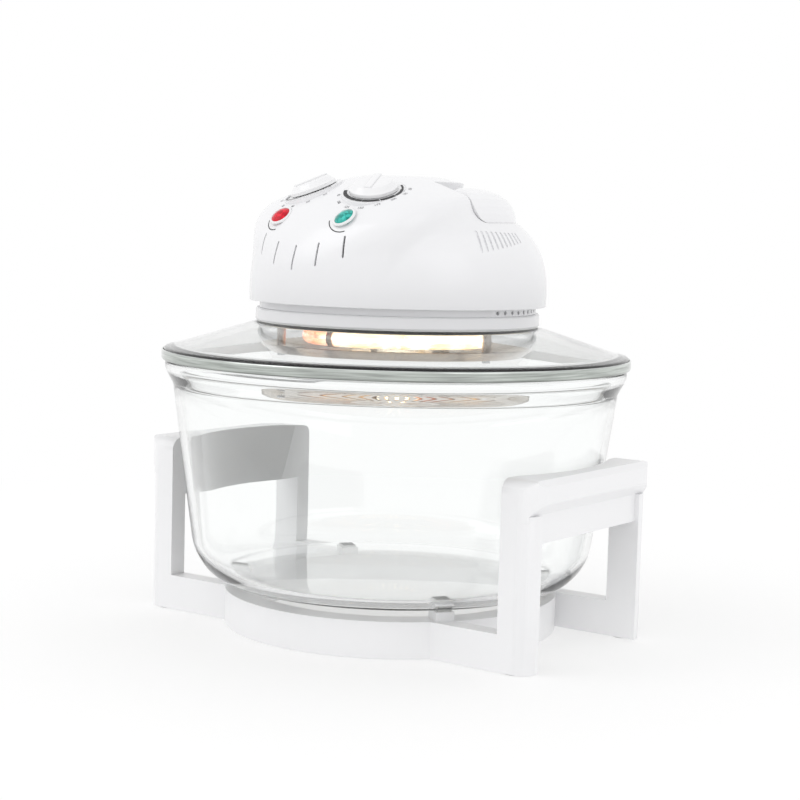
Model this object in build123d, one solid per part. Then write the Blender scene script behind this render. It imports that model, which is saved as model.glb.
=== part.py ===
from build123d import *
from math import cos, radians, sin, sqrt
import os

# Halogen oven: a glass bowl on a plastic stand with two carrying handles, closed by a glass lid that
# carries the heating head. Millimetres, +Z up. X runs from handle to handle, -Y is the stand's front
# and the origin is on the table under the bowl's centre. The head is modelled with its controls
# towards -Y and then turned with the lid.

FIT = 0.3                     # gap between curved faces of pieces that meet

# ---- driving dimensions: bowl ----
LIP_RADIUS = 163.0            # the bowl's widest place
LIP_DEPTH = 9.0
BOWL_HEIGHT = 154.0
BOWL_WALL = 5.0
NECK_INSET = 6.0              # the wall just under the lip, in from the lip
NECK_DROP = 18.0              # and down from the bowl's top
TAPER = 14.5                  # how far the wall leans in from neck to bend
BEND_WIDTH = 26.5
BEND_HEIGHT = 29.0

# ---- driving dimensions: stand ----
FOOT_STAND_OFF = 0.8          # the rubber feet hold the plastic this far off the table
STAND_TOP = 25.5              # top of the ring and of the four low bars
STAND_WALL = 3.2
RING_WIDTH = 17.5
RING_OVERHANG = 2.5           # the ring is this much wider than the bowl's flat floor
BAR_OUTER_Y = 78.0            # outer side of the bars and legs
BAR_WIDTH = 14.0
LEG_UNDER_BOWL = 1.5          # the legs start this far inside the bowl's bend
LEG_DEPTH = 23.0
LEG_NOSE = 11.0               # rounding of the legs' outer corners
LIP_NOSE = 15.0               # rounding of the lip's corners seen from above
LIP_CORNER = 9.0              # and of its top corners seen from outside
LUG_RISE = 5.9
LUG_INSET = 1.5               # lug in from the ring's outer edge
LUG_LENGTH = 15.0
LUG_WIDTH = 13.0
LUG_ANGLE = 36.0              # from the X axis
PAD_THICKNESS = 1.6
PAD_INSET = 1.5
HANDLE_TOP = 126.0
LIP_HEIGHT = 23.0             # the overhanging lip of a handle, where it meets the web
LIP_OVERHANG = 4.0            # past the legs
WEB_HEIGHT = 19.0             # web between the lip and the finger opening
WEB_SET_BACK = 3.5            # behind the legs' outer face
BOWL_CLEARANCE = 2.0          # between the bowl and the handle frames
TENON_LENGTH = 18.0
TENON_WIDTH = 8.0
TENON_HEIGHT = 12.0
JOINT_CLEARANCE = 0.15
FOOT_RADIUS = 5.6
FOOT_RECESS = 1.2
SCREW_RADIUS = 1.3            # stand screws
SCREW_GRIP = 7.6              # length of a stand screw in its tenon
SCREW_HEAD_RADIUS = 3.0
SCREW_HEAD_HEIGHT = 2.0

# ---- driving dimensions: lid ----
LID_TURN = -7.7               # the head's controls stand this far round from the stand's front
GLASS_THICKNESS = 5.0
SEAL_HEIGHT = 5.0             # between the bowl's lip and the glass flange
SEAL_INSET = 2.0              # in from the bowl's lip
SEAL_WIDTH = 9.0
FLANGE_OVERHANG = 1.0         # the lid's flange past the bowl's lip
FLANGE_WIDTH = 7.0
LID_RISE = 18.0               # from the flange up to the shelf that carries the head
SHELF_INSET = 5.5             # flat ring of glass that the head is clamped to, in from the head's edge
SHELF_WIDTH = 15.0
BAND_WALL = 1.2
BAND_DROP = 3.0               # the band's top below the flange's top
SHEET = 1.0

# ---- driving dimensions: head ----
GASKET_THICKNESS = 1.0
GASKET_INSET = 2.0            # from the edge of the hole in the glass
COLLAR_INSET = 4.2            # in from the cover's edge
COLLAR_HEIGHT = 8.4
GROOVE_INSET = 7.0
GROOVE_HEIGHT = 5.1
OUTLET_RADIUS = 1.4
OUTLET_STEP = 4.65            # degrees
HEAD_RADIUS = 104.5           # of the cover at its lower edge
HEAD_RISE = 87.3
COVER_WALL = 2.6
BASE_THICKNESS = 3.0
RECESS_FLOOR = 57.5           # height of the bail's seat above the cover's lower edge
FINGER_GAP = 12.0             # between the bail and the crown left standing inside it
BAIL_INNER = 56.0
BAIL_GAP = 0.3                # between the folded bail and its seat
BAIL_WIDTH = 25.8             # of the bail's flat underside
BAIL_END = 11.7               # rounded front end of the arms, about the pivot
BAIL_RISE = 12.0              # pivot above the seat
SWITCH_HALF = 8.0             # half the width of the switch's bracket
BRIDGE_HALF = 13.0            # half the width of the motor's brackets
PIN_RADIUS = 3.0
PIN_GRIP = 15.5               # length of a pivot pin in the bail's arm
EAR_RADIUS = 6.5
EAR_THICKNESS = 5.0
PLUNGER_RADIUS = 2.0
PLUNGER_STROKE = 3.0
PLUNGER_LENGTH = 19.0
SPRING_WIRE = 0.35            # radius of the spring's wire
DIAL_X = 28.7
DIAL_Y = -56.6
DIAL_HEIGHT = 76.5            # middle of the dial's flat above the cover's lower edge
DIAL_BORDER = 1.2             # flat left round a dial
DIAL_TILT = 22.5
DIAL_RADIUS = 20.8
DIAL_THICKNESS = 0.8
KNOB_RADIUS = 16.6
KNOB_HEIGHT = 6.8
KNOB_GAP = 0.6
KNOB_SKIRT = 4.6              # solid rim of a knob round its hollow
KNOB_ROOF = 2.6               # left over the spindle's bore
SPINDLE_RADIUS = 3.0
CONTROL_SCREW_X = 12.0        # either side of a spindle
CONTROL_SCREW_RADIUS = 1.05
CONTROL_SCREW_HEAD = 1.5
TIMER_RADIUS = 19.0
TIMER_DEPTH = 24.0
THERMOSTAT_RADIUS = 17.0
THERMOSTAT_DEPTH = 16.0
LENS_RADIUS = 6.8
LENS_STEM_RADIUS = 5.6
BEZEL_RADIUS = 8.6
LENS_X = 30.6                 # each lamp to the side of the middle of the front
LENS_INSET = 18.9             # a lamp's face, in from the foremost edge of the cover
LENS_HEIGHT = 58.6            # above the cover's lower edge
SLOPE_TILT = 43.0             # flat slope on the front of the panel that carries the lamps
INLET_HEIGHT = 18.0           # cord bush above the cover's lower edge
INLET_RADIUS = 7.0
CORD_RADIUS = 3.6

# ---- driving dimensions: heater and motor ----
REFLECTOR_INSET = 5.0         # in from the hole in the glass
REFLECTOR_FLANGE = 16.0
REFLECTOR_RISE = 10.2
TUBE_INSET = 17.0             # lamp's ring, in from the reflector's wall
TUBE_RADIUS = 5.0
TUBE_WALL = 1.0
TUBE_DROP = 7.0               # lamp's centre line below the reflector's flange
TUBE_GAP_ANGLE = 30.0
FILAMENT_RADIUS = 1.2
GUARD_DROP = 17.4             # guard's floor below the reflector's flange
GUARD_OVERHANG = 9.0          # flat of the guard past the reflector's wall
GUARD_RIM_WIDTH = 8.0
GUARD_RIM_RISE = 5.5
POST_RADIUS = 3.0
POST_OFFSET = 4.5             # posts' circle past the reflector's wall
POST_ANGLES = (-120.0, 0.0, 120.0)
SHAFT_RADIUS = 2.5
RUNNING_FIT = 0.05            # radial, shafts and pins in their bores
FAN_RADIUS = 48.0
COOLING_FAN_RADIUS = 41.0
FAN_BORE = 9.0                # hole for the shaft in the floor and the heat shield
STATOR_HEIGHT = 20.0
ROTOR_RADIUS = 14.0
ROTOR_GAP = 0.4

# ---- places that follow from the sizes above ----
NECK_RADIUS = LIP_RADIUS - NECK_INSET
BEND_RADIUS = NECK_RADIUS - TAPER
FLOOR_RADIUS = BEND_RADIUS - BEND_WIDTH
RING_OUTER = FLOOR_RADIUS + RING_OVERHANG
RING_INNER = RING_OUTER - RING_WIDTH
LUG_OUTER = RING_OUTER - LUG_INSET
LUG_INNER = LUG_OUTER - LUG_LENGTH
LUG_TOP = STAND_TOP + LUG_RISE
LEG_INNER_X = BEND_RADIUS - LEG_UNDER_BOWL
LEG_OUTER_X = LEG_INNER_X + LEG_DEPTH
LIP_OUTER_X = LEG_OUTER_X + LIP_OVERHANG
LIP_BOTTOM = HANDLE_TOP - LIP_HEIGHT
WEB_BOTTOM = LIP_BOTTOM - WEB_HEIGHT
WEB_OUTER_X = LEG_OUTER_X - WEB_SET_BACK
BAR_INNER_Y = BAR_OUTER_Y - BAR_WIDTH
BAR_MIDDLE_Y = BAR_OUTER_Y - BAR_WIDTH / 2
SCREW_X = LEG_INNER_X + TENON_LENGTH / 2
TENON_LOW = FOOT_STAND_OFF + (STAND_TOP - FOOT_STAND_OFF - TENON_HEIGHT) / 2
SCREW_TIP = TENON_LOW + SCREW_GRIP
FOOT_SEAT = FOOT_STAND_OFF + FOOT_RECESS
SCREW_SEAT = FOOT_SEAT + SCREW_HEAD_HEIGHT + 0.2
BOWL_BOTTOM = LUG_TOP + PAD_THICKNESS
BOWL_TOP = BOWL_BOTTOM + BOWL_HEIGHT
SEAL_OUTER = LIP_RADIUS - SEAL_INSET
SEAL_INNER = SEAL_OUTER - SEAL_WIDTH
FLANGE_RADIUS = LIP_RADIUS + FLANGE_OVERHANG
FLANGE_INNER = FLANGE_RADIUS - FLANGE_WIDTH
FLANGE_BOTTOM = BOWL_TOP + SEAL_HEIGHT
FLANGE_TOP = FLANGE_BOTTOM + GLASS_THICKNESS
SHELF_RADIUS = HEAD_RADIUS - SHELF_INSET
HOLE_RADIUS = SHELF_RADIUS - SHELF_WIDTH
SHELF_TOP = FLANGE_TOP + LID_RISE
SHELF_BOTTOM = SHELF_TOP - GLASS_THICKNESS
BAND_RADIUS = FLANGE_RADIUS + FIT + BAND_WALL
BAND_TOP = FLANGE_TOP - BAND_DROP
GASKET_INNER = HOLE_RADIUS + GASKET_INSET
COLLAR_RADIUS = HEAD_RADIUS - COLLAR_INSET
GROOVE_RADIUS = HEAD_RADIUS - GROOVE_INSET
COLLAR_BOTTOM = SHELF_TOP + GASKET_THICKNESS
COLLAR_TOP = COLLAR_BOTTOM + COLLAR_HEIGHT
HEAD_BOTTOM = COLLAR_TOP + GROOVE_HEIGHT
BASE_TOP = HEAD_BOTTOM + BASE_THICKNESS
SEAT = HEAD_BOTTOM + RECESS_FLOOR
PIVOT_HEIGHT = SEAT + BAIL_RISE
CROWN_RADIUS = BAIL_INNER - FINGER_GAP
REFLECTOR_RADIUS = HOLE_RADIUS - REFLECTOR_INSET
FLANGE_Z = SHELF_BOTTOM                     # reflector's flange lies under the glass
REFLECTOR_TOP = FLANGE_Z + REFLECTOR_RISE - SHEET
TUBE_Z = FLANGE_Z - TUBE_DROP
TUBE_RING_RADIUS = REFLECTOR_RADIUS - TUBE_INSET
GUARD_RADIUS = REFLECTOR_RADIUS + GUARD_OVERHANG
POST_CIRCLE = REFLECTOR_RADIUS + POST_OFFSET
GUARD_FLOOR = FLANGE_Z - GUARD_DROP

# Half-sections of the head cover as (height above its lower edge, set in from the head's radius): the
# raised control panel at the front, and the round dome of the sides and the back.
PANEL_SECTION = ((0.0, 0.3), (32.5, 1.5), (48.5, 2.3), (54.5, 3.0), (59.5, 5.2), (64.5, 9.4),
                 (69.5, 16.4), (73.5, 25.5), (77.5, 39.5), (81.0, 54.5), (84.0, 69.5))
DOME_SECTION = ((0.0, 0.0), (20.0, 0.3), (32.5, 3.0), (40.5, 6.5), (48.5, 12.0), (54.5, 18.0),
                (59.5, 24.0), (69.5, 38.5), (77.5, 53.5), (81.0, 62.0), (84.0, 72.5))
PANEL_ROUND = 80.0            # upright cylinder that bounds the control panel
PANEL_ROUND_Y = PANEL_ROUND - HEAD_RADIUS - 10.5


SLOPE_RISE = 1.2              # slope over the lamps' faces


# ---- small helpers ----
def cylinder(radius, low, high, x=0.0, y=0.0):
    return Pos(x, y, low) * Cylinder(radius, high - low, align=(Align.CENTER, Align.CENTER, Align.MIN))


def ring(outer, inner, low, high, x=0.0, y=0.0):
    return cylinder(outer, low, high, x, y) - cylinder(inner, low - 1, high + 1, x, y)


def block(x0, x1, y0, y1, z0, z1):
    middle = Pos((x0 + x1) / 2, (y0 + y1) / 2, (z0 + z1) / 2)
    return middle * Box(abs(x1 - x0), abs(y1 - y0), abs(z1 - z0))


def spun(outline):
    """A turned body from (radius, height) points."""
    return revolve(make_face(Polyline(*[(r, 0, z) for r, z in outline], close=True)), Axis.Z)


def group(pieces):
    solids = []
    for piece in pieces:
        solids.extend(piece.solids())
    return Compound(solids)


def around(piece, angles):
    return [piece.rotate(Axis.Z, angle) for angle in angles]


def mirrored_x(piece):
    return piece.mirror(Plane.YZ)


# ---- stand ----
def bowl_outline_radius(height):
    """Outer radius of the bowl's tapering wall at a height above the table."""
    low = BOWL_BOTTOM + BEND_HEIGHT
    high = BOWL_TOP - NECK_DROP
    share = (height - low) / (high - low)
    return BEND_RADIUS + share * (NECK_RADIUS - BEND_RADIUS)


def bar_end_x():
    return sqrt(RING_OUTER**2 - BAR_OUTER_Y**2)


def lug(angle):
    upright = block(LUG_INNER, LUG_OUTER, -LUG_WIDTH / 2, LUG_WIDTH / 2, STAND_TOP - 6, LUG_TOP)
    return upright.rotate(Axis.Z, angle)


LUG_ANGLES = (LUG_ANGLE, 180 - LUG_ANGLE, 180 + LUG_ANGLE, -LUG_ANGLE)


def stand_base():
    """Ring with four low bars, moulded hollow from below, and a tenon at the end of each bar."""
    base = cylinder(RING_OUTER, FOOT_STAND_OFF, STAND_TOP)
    for side in (-1, 1):
        base += block(-LEG_INNER_X, LEG_INNER_X, side * BAR_INNER_Y, side * BAR_OUTER_Y,
                      FOOT_STAND_OFF, STAND_TOP)
    base -= cylinder(RING_INNER, 0, STAND_TOP + 1)
    hollow = ring(RING_OUTER - STAND_WALL, RING_INNER + STAND_WALL, 0, STAND_TOP - STAND_WALL)
    for side in (-1, 1):
        for end in (-1, 1):
            hollow += block(end * (bar_end_x() + STAND_WALL), end * (LEG_INNER_X - STAND_WALL),
                            side * (BAR_INNER_Y + STAND_WALL), side * (BAR_OUTER_Y - STAND_WALL),
                            0, STAND_TOP - STAND_WALL)
    base -= hollow
    for angle in LUG_ANGLES:
        base += lug(angle)
    for side in (-1, 1):
        for end in (-1, 1):
            tenon = block(end * (LEG_INNER_X - STAND_WALL / 2), end * (LEG_INNER_X + TENON_LENGTH),
                          side * BAR_MIDDLE_Y - TENON_WIDTH / 2, side * BAR_MIDDLE_Y + TENON_WIDTH / 2,
                          TENON_LOW, TENON_LOW + TENON_HEIGHT)
            base += tenon - screw_hole(end, side, SCREW_RADIUS)
    return base


def screw_hole(end, side, radius):
    return cylinder(radius, 0, SCREW_TIP + 1.8, end * SCREW_X, side * BAR_MIDDLE_Y)


def rounded_in_plan():
    """Upright body that a handle's lip keeps inside, with its two outer corners rounded."""
    face, side, top = LIP_OUTER_X - LIP_NOSE, BAR_OUTER_Y - LIP_NOSE, HANDLE_TOP + 5
    body = cylinder(LIP_NOSE, 0, top, face, side) + cylinder(LIP_NOSE, 0, top, face, -side)
    body += block(0, face, -BAR_OUTER_Y, BAR_OUTER_Y, 0, top)
    return body + block(0, LIP_OUTER_X + 5, -side, side, 0, top)


def handle_frame(end):
    """One carrying handle: two legs, a web and an overhanging lip, cut back to follow the bowl."""
    legs = block(LEG_INNER_X, LEG_OUTER_X, -BAR_OUTER_Y, BAR_OUTER_Y, FOOT_STAND_OFF, LIP_BOTTOM)
    legs = fillet(legs.edges().filter_by(Axis.Z).group_by(Axis.X)[-1], LEG_NOSE)
    legs -= block(LEG_INNER_X - 1, LIP_OUTER_X, -BAR_INNER_Y, BAR_INNER_Y, 0, WEB_BOTTOM)
    legs -= block(WEB_OUTER_X, LIP_OUTER_X, -BAR_INNER_Y, BAR_INNER_Y, WEB_BOTTOM - 1, LIP_BOTTOM)
    top_chamfer = 4.0
    slope = LIP_OUTER_X - WEB_OUTER_X
    profile = Polyline(
        (LEG_INNER_X, 0, LIP_BOTTOM - 4), (WEB_OUTER_X, 0, LIP_BOTTOM - 4), (WEB_OUTER_X, 0, LIP_BOTTOM),
        (LIP_OUTER_X - 0.5, 0, LIP_BOTTOM + slope), (LIP_OUTER_X, 0, HANDLE_TOP - 14),
        (LIP_OUTER_X - 0.8, 0, HANDLE_TOP - top_chamfer), (LIP_OUTER_X - top_chamfer, 0, HANDLE_TOP),
        (LEG_INNER_X, 0, HANDLE_TOP), close=True)
    lip = Pos(0, BAR_OUTER_Y, 0) * extrude(make_face(profile), BAR_OUTER_Y * 2, dir=(0, -1, 0))
    end_on = Plane.YZ * Pos(0, HANDLE_TOP / 2) * RectangleRounded(2 * BAR_OUTER_Y, HANDLE_TOP, LIP_CORNER)
    lip &= rounded_in_plan()
    lip &= extrude(end_on, LIP_OUTER_X + 10)
    frame = legs + lip
    clear = BOWL_CLEARANCE
    low = BOWL_BOTTOM - 8
    frame -= spun([(0, low), (bowl_outline_radius(low) + clear, low),
                   (bowl_outline_radius(HANDLE_TOP + 1) + clear, HANDLE_TOP + 1), (0, HANDLE_TOP + 1)])
    for side in (-1, 1):
        socket_half = TENON_WIDTH / 2 + JOINT_CLEARANCE
        frame -= block(LEG_INNER_X - 1, LEG_INNER_X + TENON_LENGTH + JOINT_CLEARANCE,
                       side * BAR_MIDDLE_Y - socket_half, side * BAR_MIDDLE_Y + socket_half,
                       TENON_LOW - JOINT_CLEARANCE, TENON_LOW + TENON_HEIGHT + JOINT_CLEARANCE)
        frame -= screw_hole(1, side, SCREW_RADIUS + 2 * FIT)
        frame -= cylinder(FOOT_RADIUS + FIT, 0, FOOT_SEAT, SCREW_X, side * BAR_MIDDLE_Y)
        frame -= cylinder(SCREW_HEAD_RADIUS + FIT, 0, SCREW_SEAT, SCREW_X, side * BAR_MIDDLE_Y)
    return frame if end > 0 else mirrored_x(frame)


def stand_screws():
    """Four screws that go up through the legs into the tenons."""
    screws = []
    for x, y in leg_points():
        head = cylinder(SCREW_HEAD_RADIUS, SCREW_SEAT - SCREW_HEAD_HEIGHT, SCREW_SEAT, x, y)
        screws.append(head + cylinder(SCREW_RADIUS, SCREW_SEAT, SCREW_TIP, x, y))
    return group(screws)


def leg_points():
    return [(end * SCREW_X, side * BAR_MIDDLE_Y) for end in (-1, 1) for side in (-1, 1)]


def rubber_feet():
    return group([cylinder(FOOT_RADIUS, 0, FOOT_SEAT, x, y) for x, y in leg_points()])


def bowl_pads():
    """Soft pads on the lugs, which the bowl stands on."""
    half = LUG_WIDTH / 2 - PAD_INSET
    pad = block(LUG_INNER + PAD_INSET, LUG_OUTER - PAD_INSET, -half, half, LUG_TOP, BOWL_BOTTOM)
    return group(around(pad, LUG_ANGLES))


# ---- bowl ----
def bowl_outline(inset):
    """Flat floor, bend and tapering wall, as edges from the axis to just under the lip."""
    floor = BOWL_BOTTOM + inset
    flat = (FLOOR_RADIUS - inset * 0.6, 0, floor)
    bend_top = (BEND_RADIUS - inset, 0, BOWL_BOTTOM + BEND_HEIGHT)
    neck = (NECK_RADIUS - inset, 0, BOWL_TOP - NECK_DROP)
    taper = Vector(neck[0] - bend_top[0], 0, neck[2] - bend_top[2])
    return [Line((0, 0, floor), flat),
            Spline(flat, bend_top, tangents=(Vector(1, 0, 0), taper)),
            Line(bend_top, neck)], neck


def glass_bowl():
    outside, neck = bowl_outline(0)
    inside, inner_neck = bowl_outline(BOWL_WALL)
    lip_under = BOWL_TOP - LIP_DEPTH
    rim = [Spline(neck, (NECK_RADIUS + 2.0, 0, lip_under - 1.5), (LIP_RADIUS - 0.6, 0, lip_under + 2.5)),
           Line((LIP_RADIUS - 0.6, 0, lip_under + 2.5), (LIP_RADIUS, 0, lip_under + 4.5)),
           Line((LIP_RADIUS, 0, lip_under + 4.5), (LIP_RADIUS, 0, BOWL_TOP - 1.5)),
           Line((LIP_RADIUS, 0, BOWL_TOP - 1.5), (LIP_RADIUS - 1.5, 0, BOWL_TOP)),
           Line((LIP_RADIUS - 1.5, 0, BOWL_TOP), (NECK_RADIUS - 4.0, 0, BOWL_TOP)),
           Spline((NECK_RADIUS - 4.0, 0, BOWL_TOP), (inner_neck[0] + 0.2, 0, BOWL_TOP - 3.5), inner_neck)]
    axis_edge = Line((0, 0, BOWL_BOTTOM), (0, 0, BOWL_BOTTOM + BOWL_WALL))
    return revolve(make_face(outside + rim + inside + [axis_edge]), Axis.Z)


# ---- lid ----
def lid_glass():
    drop = GLASS_THICKNESS
    return spun([(HOLE_RADIUS, SHELF_TOP), (SHELF_RADIUS, SHELF_TOP), (FLANGE_INNER, FLANGE_TOP),
                 (FLANGE_RADIUS, FLANGE_TOP), (FLANGE_RADIUS, FLANGE_TOP - drop),
                 (FLANGE_INNER - 0.7, FLANGE_TOP - drop), (SHELF_RADIUS - 0.7, SHELF_BOTTOM),
                 (HOLE_RADIUS, SHELF_BOTTOM)])


def cone_underside(radius):
    """Height of the glass cone's lower face at a radius."""
    outer, inner = FLANGE_INNER - 0.7, SHELF_RADIUS - 0.7
    return FLANGE_BOTTOM + (outer - radius) / (outer - inner) * (SHELF_BOTTOM - FLANGE_BOTTOM)


def lid_band():
    """Steel band round the flange, with a ledge under it."""
    ledge = BOWL_TOP + 0.4
    inside = BAND_RADIUS - BAND_WALL
    return spun([(inside, BAND_TOP), (BAND_RADIUS - 0.3, BAND_TOP), (BAND_RADIUS, BAND_TOP - 0.5),
                 (BAND_RADIUS, ledge + 0.4), (BAND_RADIUS - 0.4, ledge), (SEAL_OUTER + FIT, ledge),
                 (SEAL_OUTER + FIT, ledge + SHEET), (inside, ledge + SHEET)])


def lid_seal():
    """Silicone ring between the glass flange, the band's ledge and the bowl's lip."""
    over_ledge = BOWL_TOP + 0.4 + SHEET
    return spun([(SEAL_INNER, BOWL_TOP), (SEAL_OUTER, BOWL_TOP), (SEAL_OUTER, over_ledge),
                 (FLANGE_RADIUS, over_ledge), (FLANGE_RADIUS, FLANGE_BOTTOM),
                 (FLANGE_INNER - 0.7, FLANGE_BOTTOM),
                 (SEAL_INNER, cone_underside(SEAL_INNER) - FIT)])


def lid_gasket():
    return ring(COLLAR_RADIUS - 1.0, GASKET_INNER, SHELF_TOP, COLLAR_BOTTOM)


def collar_ring():
    edge = 1.0
    return spun([(GASKET_INNER, COLLAR_BOTTOM), (COLLAR_RADIUS - 0.3, COLLAR_BOTTOM),
                 (COLLAR_RADIUS, COLLAR_BOTTOM + 0.6), (COLLAR_RADIUS - 0.2, COLLAR_TOP - edge),
                 (COLLAR_RADIUS - edge, COLLAR_TOP), (GASKET_INNER, COLLAR_TOP)])


def vent_ring():
    """Set-back ring between collar and cover, with round air outlets along its rear half."""
    first, last = 87.0, 273.0
    body = ring(GROOVE_RADIUS, GROOVE_RADIUS - 4, COLLAR_TOP, HEAD_BOTTOM)
    middle = (COLLAR_TOP + HEAD_BOTTOM) / 2
    drill = Pos(0, -GROOVE_RADIUS + 2, middle) * Rot(90, 0, 0) * Cylinder(OUTLET_RADIUS, 8)
    count = int((last - first) / OUTLET_STEP) + 1
    return body - around(drill, [first + OUTLET_STEP * index for index in range(count)])


COVER_SCREWS = ((62.0, 60.0), (-62.0, 60.0), (72.0, -46.0), (-72.0, -46.0))
SPACER_CIRCLE = 70.0
SPACER_ANGLES = (60.0, 180.0, 300.0)
SPACER_RADIUS = 4.0
CLAMP_SCREW_RADIUS = 1.6


def clamp_points():
    return [(SPACER_CIRCLE * sin(radians(a)), SPACER_CIRCLE * cos(radians(a))) for a in SPACER_ANGLES]


def base_plate():
    """Floor of the head: carries the motor and is screwed to the cover's bosses."""
    plate = cylinder(HEAD_RADIUS - COVER_WALL - 0.9, HEAD_BOTTOM, BASE_TOP)
    plate -= cylinder(FAN_BORE, HEAD_BOTTOM - 1, BASE_TOP + 1)
    for x, y in clamp_points():
        plate += cylinder(5.0, BASE_TOP - 0.5, BASE_TOP + 7, x, y)
        plate -= cylinder(CLAMP_SCREW_RADIUS + 0.05, HEAD_BOTTOM - 1, BASE_TOP + 6, x, y)
    for x, y in COVER_SCREWS:
        plate -= cylinder(2.0, HEAD_BOTTOM - 1, BASE_TOP + 1, x, y)
        plate -= cylinder(3.6, HEAD_BOTTOM - 1, HEAD_BOTTOM + 1.8, x, y)
    intake = block(26, 62, -2, 2, HEAD_BOTTOM - 1, BASE_TOP + 1)
    return plate - around(intake, [22, 52, 128, 158, 202, 232, 308, 338])


def domed(section, inset):
    """A turned dome through (height, set in) points, drawn in by a wall thickness."""
    bottom = HEAD_BOTTOM - 2 * inset
    radius = HEAD_RADIUS - inset
    points = [(radius - set_in, 0, HEAD_BOTTOM + rise - inset) for rise, set_in in section[1:]]
    top = (0, 0, HEAD_BOTTOM + HEAD_RISE - inset)
    foot = (radius - section[0][1], 0, bottom)
    outline = [Line((0, 0, bottom), foot), Line(foot, points[0]),
               Spline(*points, top, tangents=(Vector(0, 0, 1), Vector(-1, 0, 0))), Line(top, (0, 0, bottom))]
    return revolve(make_face(outline), Axis.Z)


def slope_frame(x):
    """Plane through the lamps' faces: +Z out of the front of the cover."""
    normal = Vector(0, -sin(radians(SLOPE_TILT)), cos(radians(SLOPE_TILT)))
    centre = (x, LENS_INSET - HEAD_RADIUS, HEAD_BOTTOM + LENS_HEIGHT)
    return Plane(origin=centre, x_dir=Vector(1, 0, 0), z_dir=normal)


def cover_solid(inset):
    """The head's outer shape, or the same shape drawn in by a wall."""
    panel = domed(PANEL_SECTION, inset)
    bounds = cylinder(PANEL_ROUND - inset, HEAD_BOTTOM - 10, HEAD_BOTTOM + 100, 0, PANEL_ROUND_Y)
    above_slope = slope_frame(0) * block(-150, 150, -100, 100, SLOPE_RISE - inset, 100)
    return domed(DOME_SECTION, inset) + ((panel & bounds) - above_slope)


def recess(grow, floor):
    """Room for the folded bail: behind the pivot line, round the arms' ends and outside the crown."""
    swing = BAIL_END + 2 * FIT + grow
    room = block(-120, 120, 0, 120, floor, floor + 60)
    room += block(-120, 120, -swing, 1, PIVOT_HEIGHT, floor + 60)
    ends = Pos(0, 0, PIVOT_HEIGHT) * Rot(0, 90, 0) * Cylinder(swing, 240)
    room += ends & block(-120, 120, -swing - 1, 1, floor, PIVOT_HEIGHT + 1)
    return room - cylinder(CROWN_RADIUS - grow, floor - 1, floor + 61)


def dial_frame(side):
    """Plane on a dial's flat: +Z out of the cover, local -Y down the slope."""
    outward = Vector(side * DIAL_X, DIAL_Y, 0).normalized()
    normal = outward * sin(radians(DIAL_TILT)) + Vector(0, 0, 1) * cos(radians(DIAL_TILT))
    across = Vector(0, 0, 1).cross(outward).normalized()
    return Plane(origin=(side * DIAL_X, DIAL_Y, HEAD_BOTTOM + DIAL_HEIGHT), x_dir=across, z_dir=normal)


def lens_frame(side):
    """Plane on a lamp's face, sunk a little in the panel's slope."""
    return slope_frame(side * LENS_X)


def disc_on(frame, radius, low, high, x=0.0, y=0.0):
    return frame * cylinder(radius, low, high, x, y)


def front_slits():
    """Five upright slits low on the front, the middle one longest and lowest."""
    slits = []
    for index in (-2, -1, 0, 1, 2):
        length = 16.5 - abs(index)
        middle = HEAD_BOTTOM + 31.3 + (0, 2.7, 8.2)[abs(index)]
        slit = block(-0.75, 0.75, -112, -88, middle - length / 2, middle + length / 2)
        slits.append(slit.rotate(Axis.Z, 11.2 * index))
    return slits


def side_slits():
    """A fan of leaning, blind slits under each end of the bail."""
    core = domed(DOME_SECTION, 1.2)
    slits = []
    for index in range(10):
        length = 18.0 - 1.0 * index
        leaning = Pos(0, -92, HEAD_BOTTOM + 45.5 + 0.35 * index) * Rot(0, -5, 0) * Box(1.3, 30, length)
        for side in (-1, 1):
            slit = leaning if side > 0 else mirrored_x(leaning)
            slits.append(slit.rotate(Axis.Z, side * (80.0 + 4.1 * index)) - core)
    return slits


EAR_OUTER = sqrt(BAIL_INNER**2 - EAR_RADIUS**2) - FIT
EAR_INNER = EAR_OUTER - EAR_THICKNESS


def pivot_ear(side):
    """Lug that stands on the bail's seat and carries a pivot pin."""
    ear = block(side * EAR_INNER, side * EAR_OUTER, -EAR_RADIUS, EAR_RADIUS, SEAT - 1, PIVOT_HEIGHT)
    crown = Pos(side * (EAR_INNER + EAR_OUTER) / 2, 0, PIVOT_HEIGHT) * Rot(0, 90, 0)
    ear += crown * Cylinder(EAR_RADIUS, EAR_OUTER - EAR_INNER)
    return ear - crown * Cylinder(PIN_RADIUS + RUNNING_FIT, 20)


PLUNGER_REACH = BAIL_INNER + BAIL_WIDTH / 2
PLUNGER_Y = BRIDGE_HALF + SWITCH_HALF + 1.0
PLUNGER_X = sqrt(PLUNGER_REACH**2 - PLUNGER_Y**2)


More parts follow.
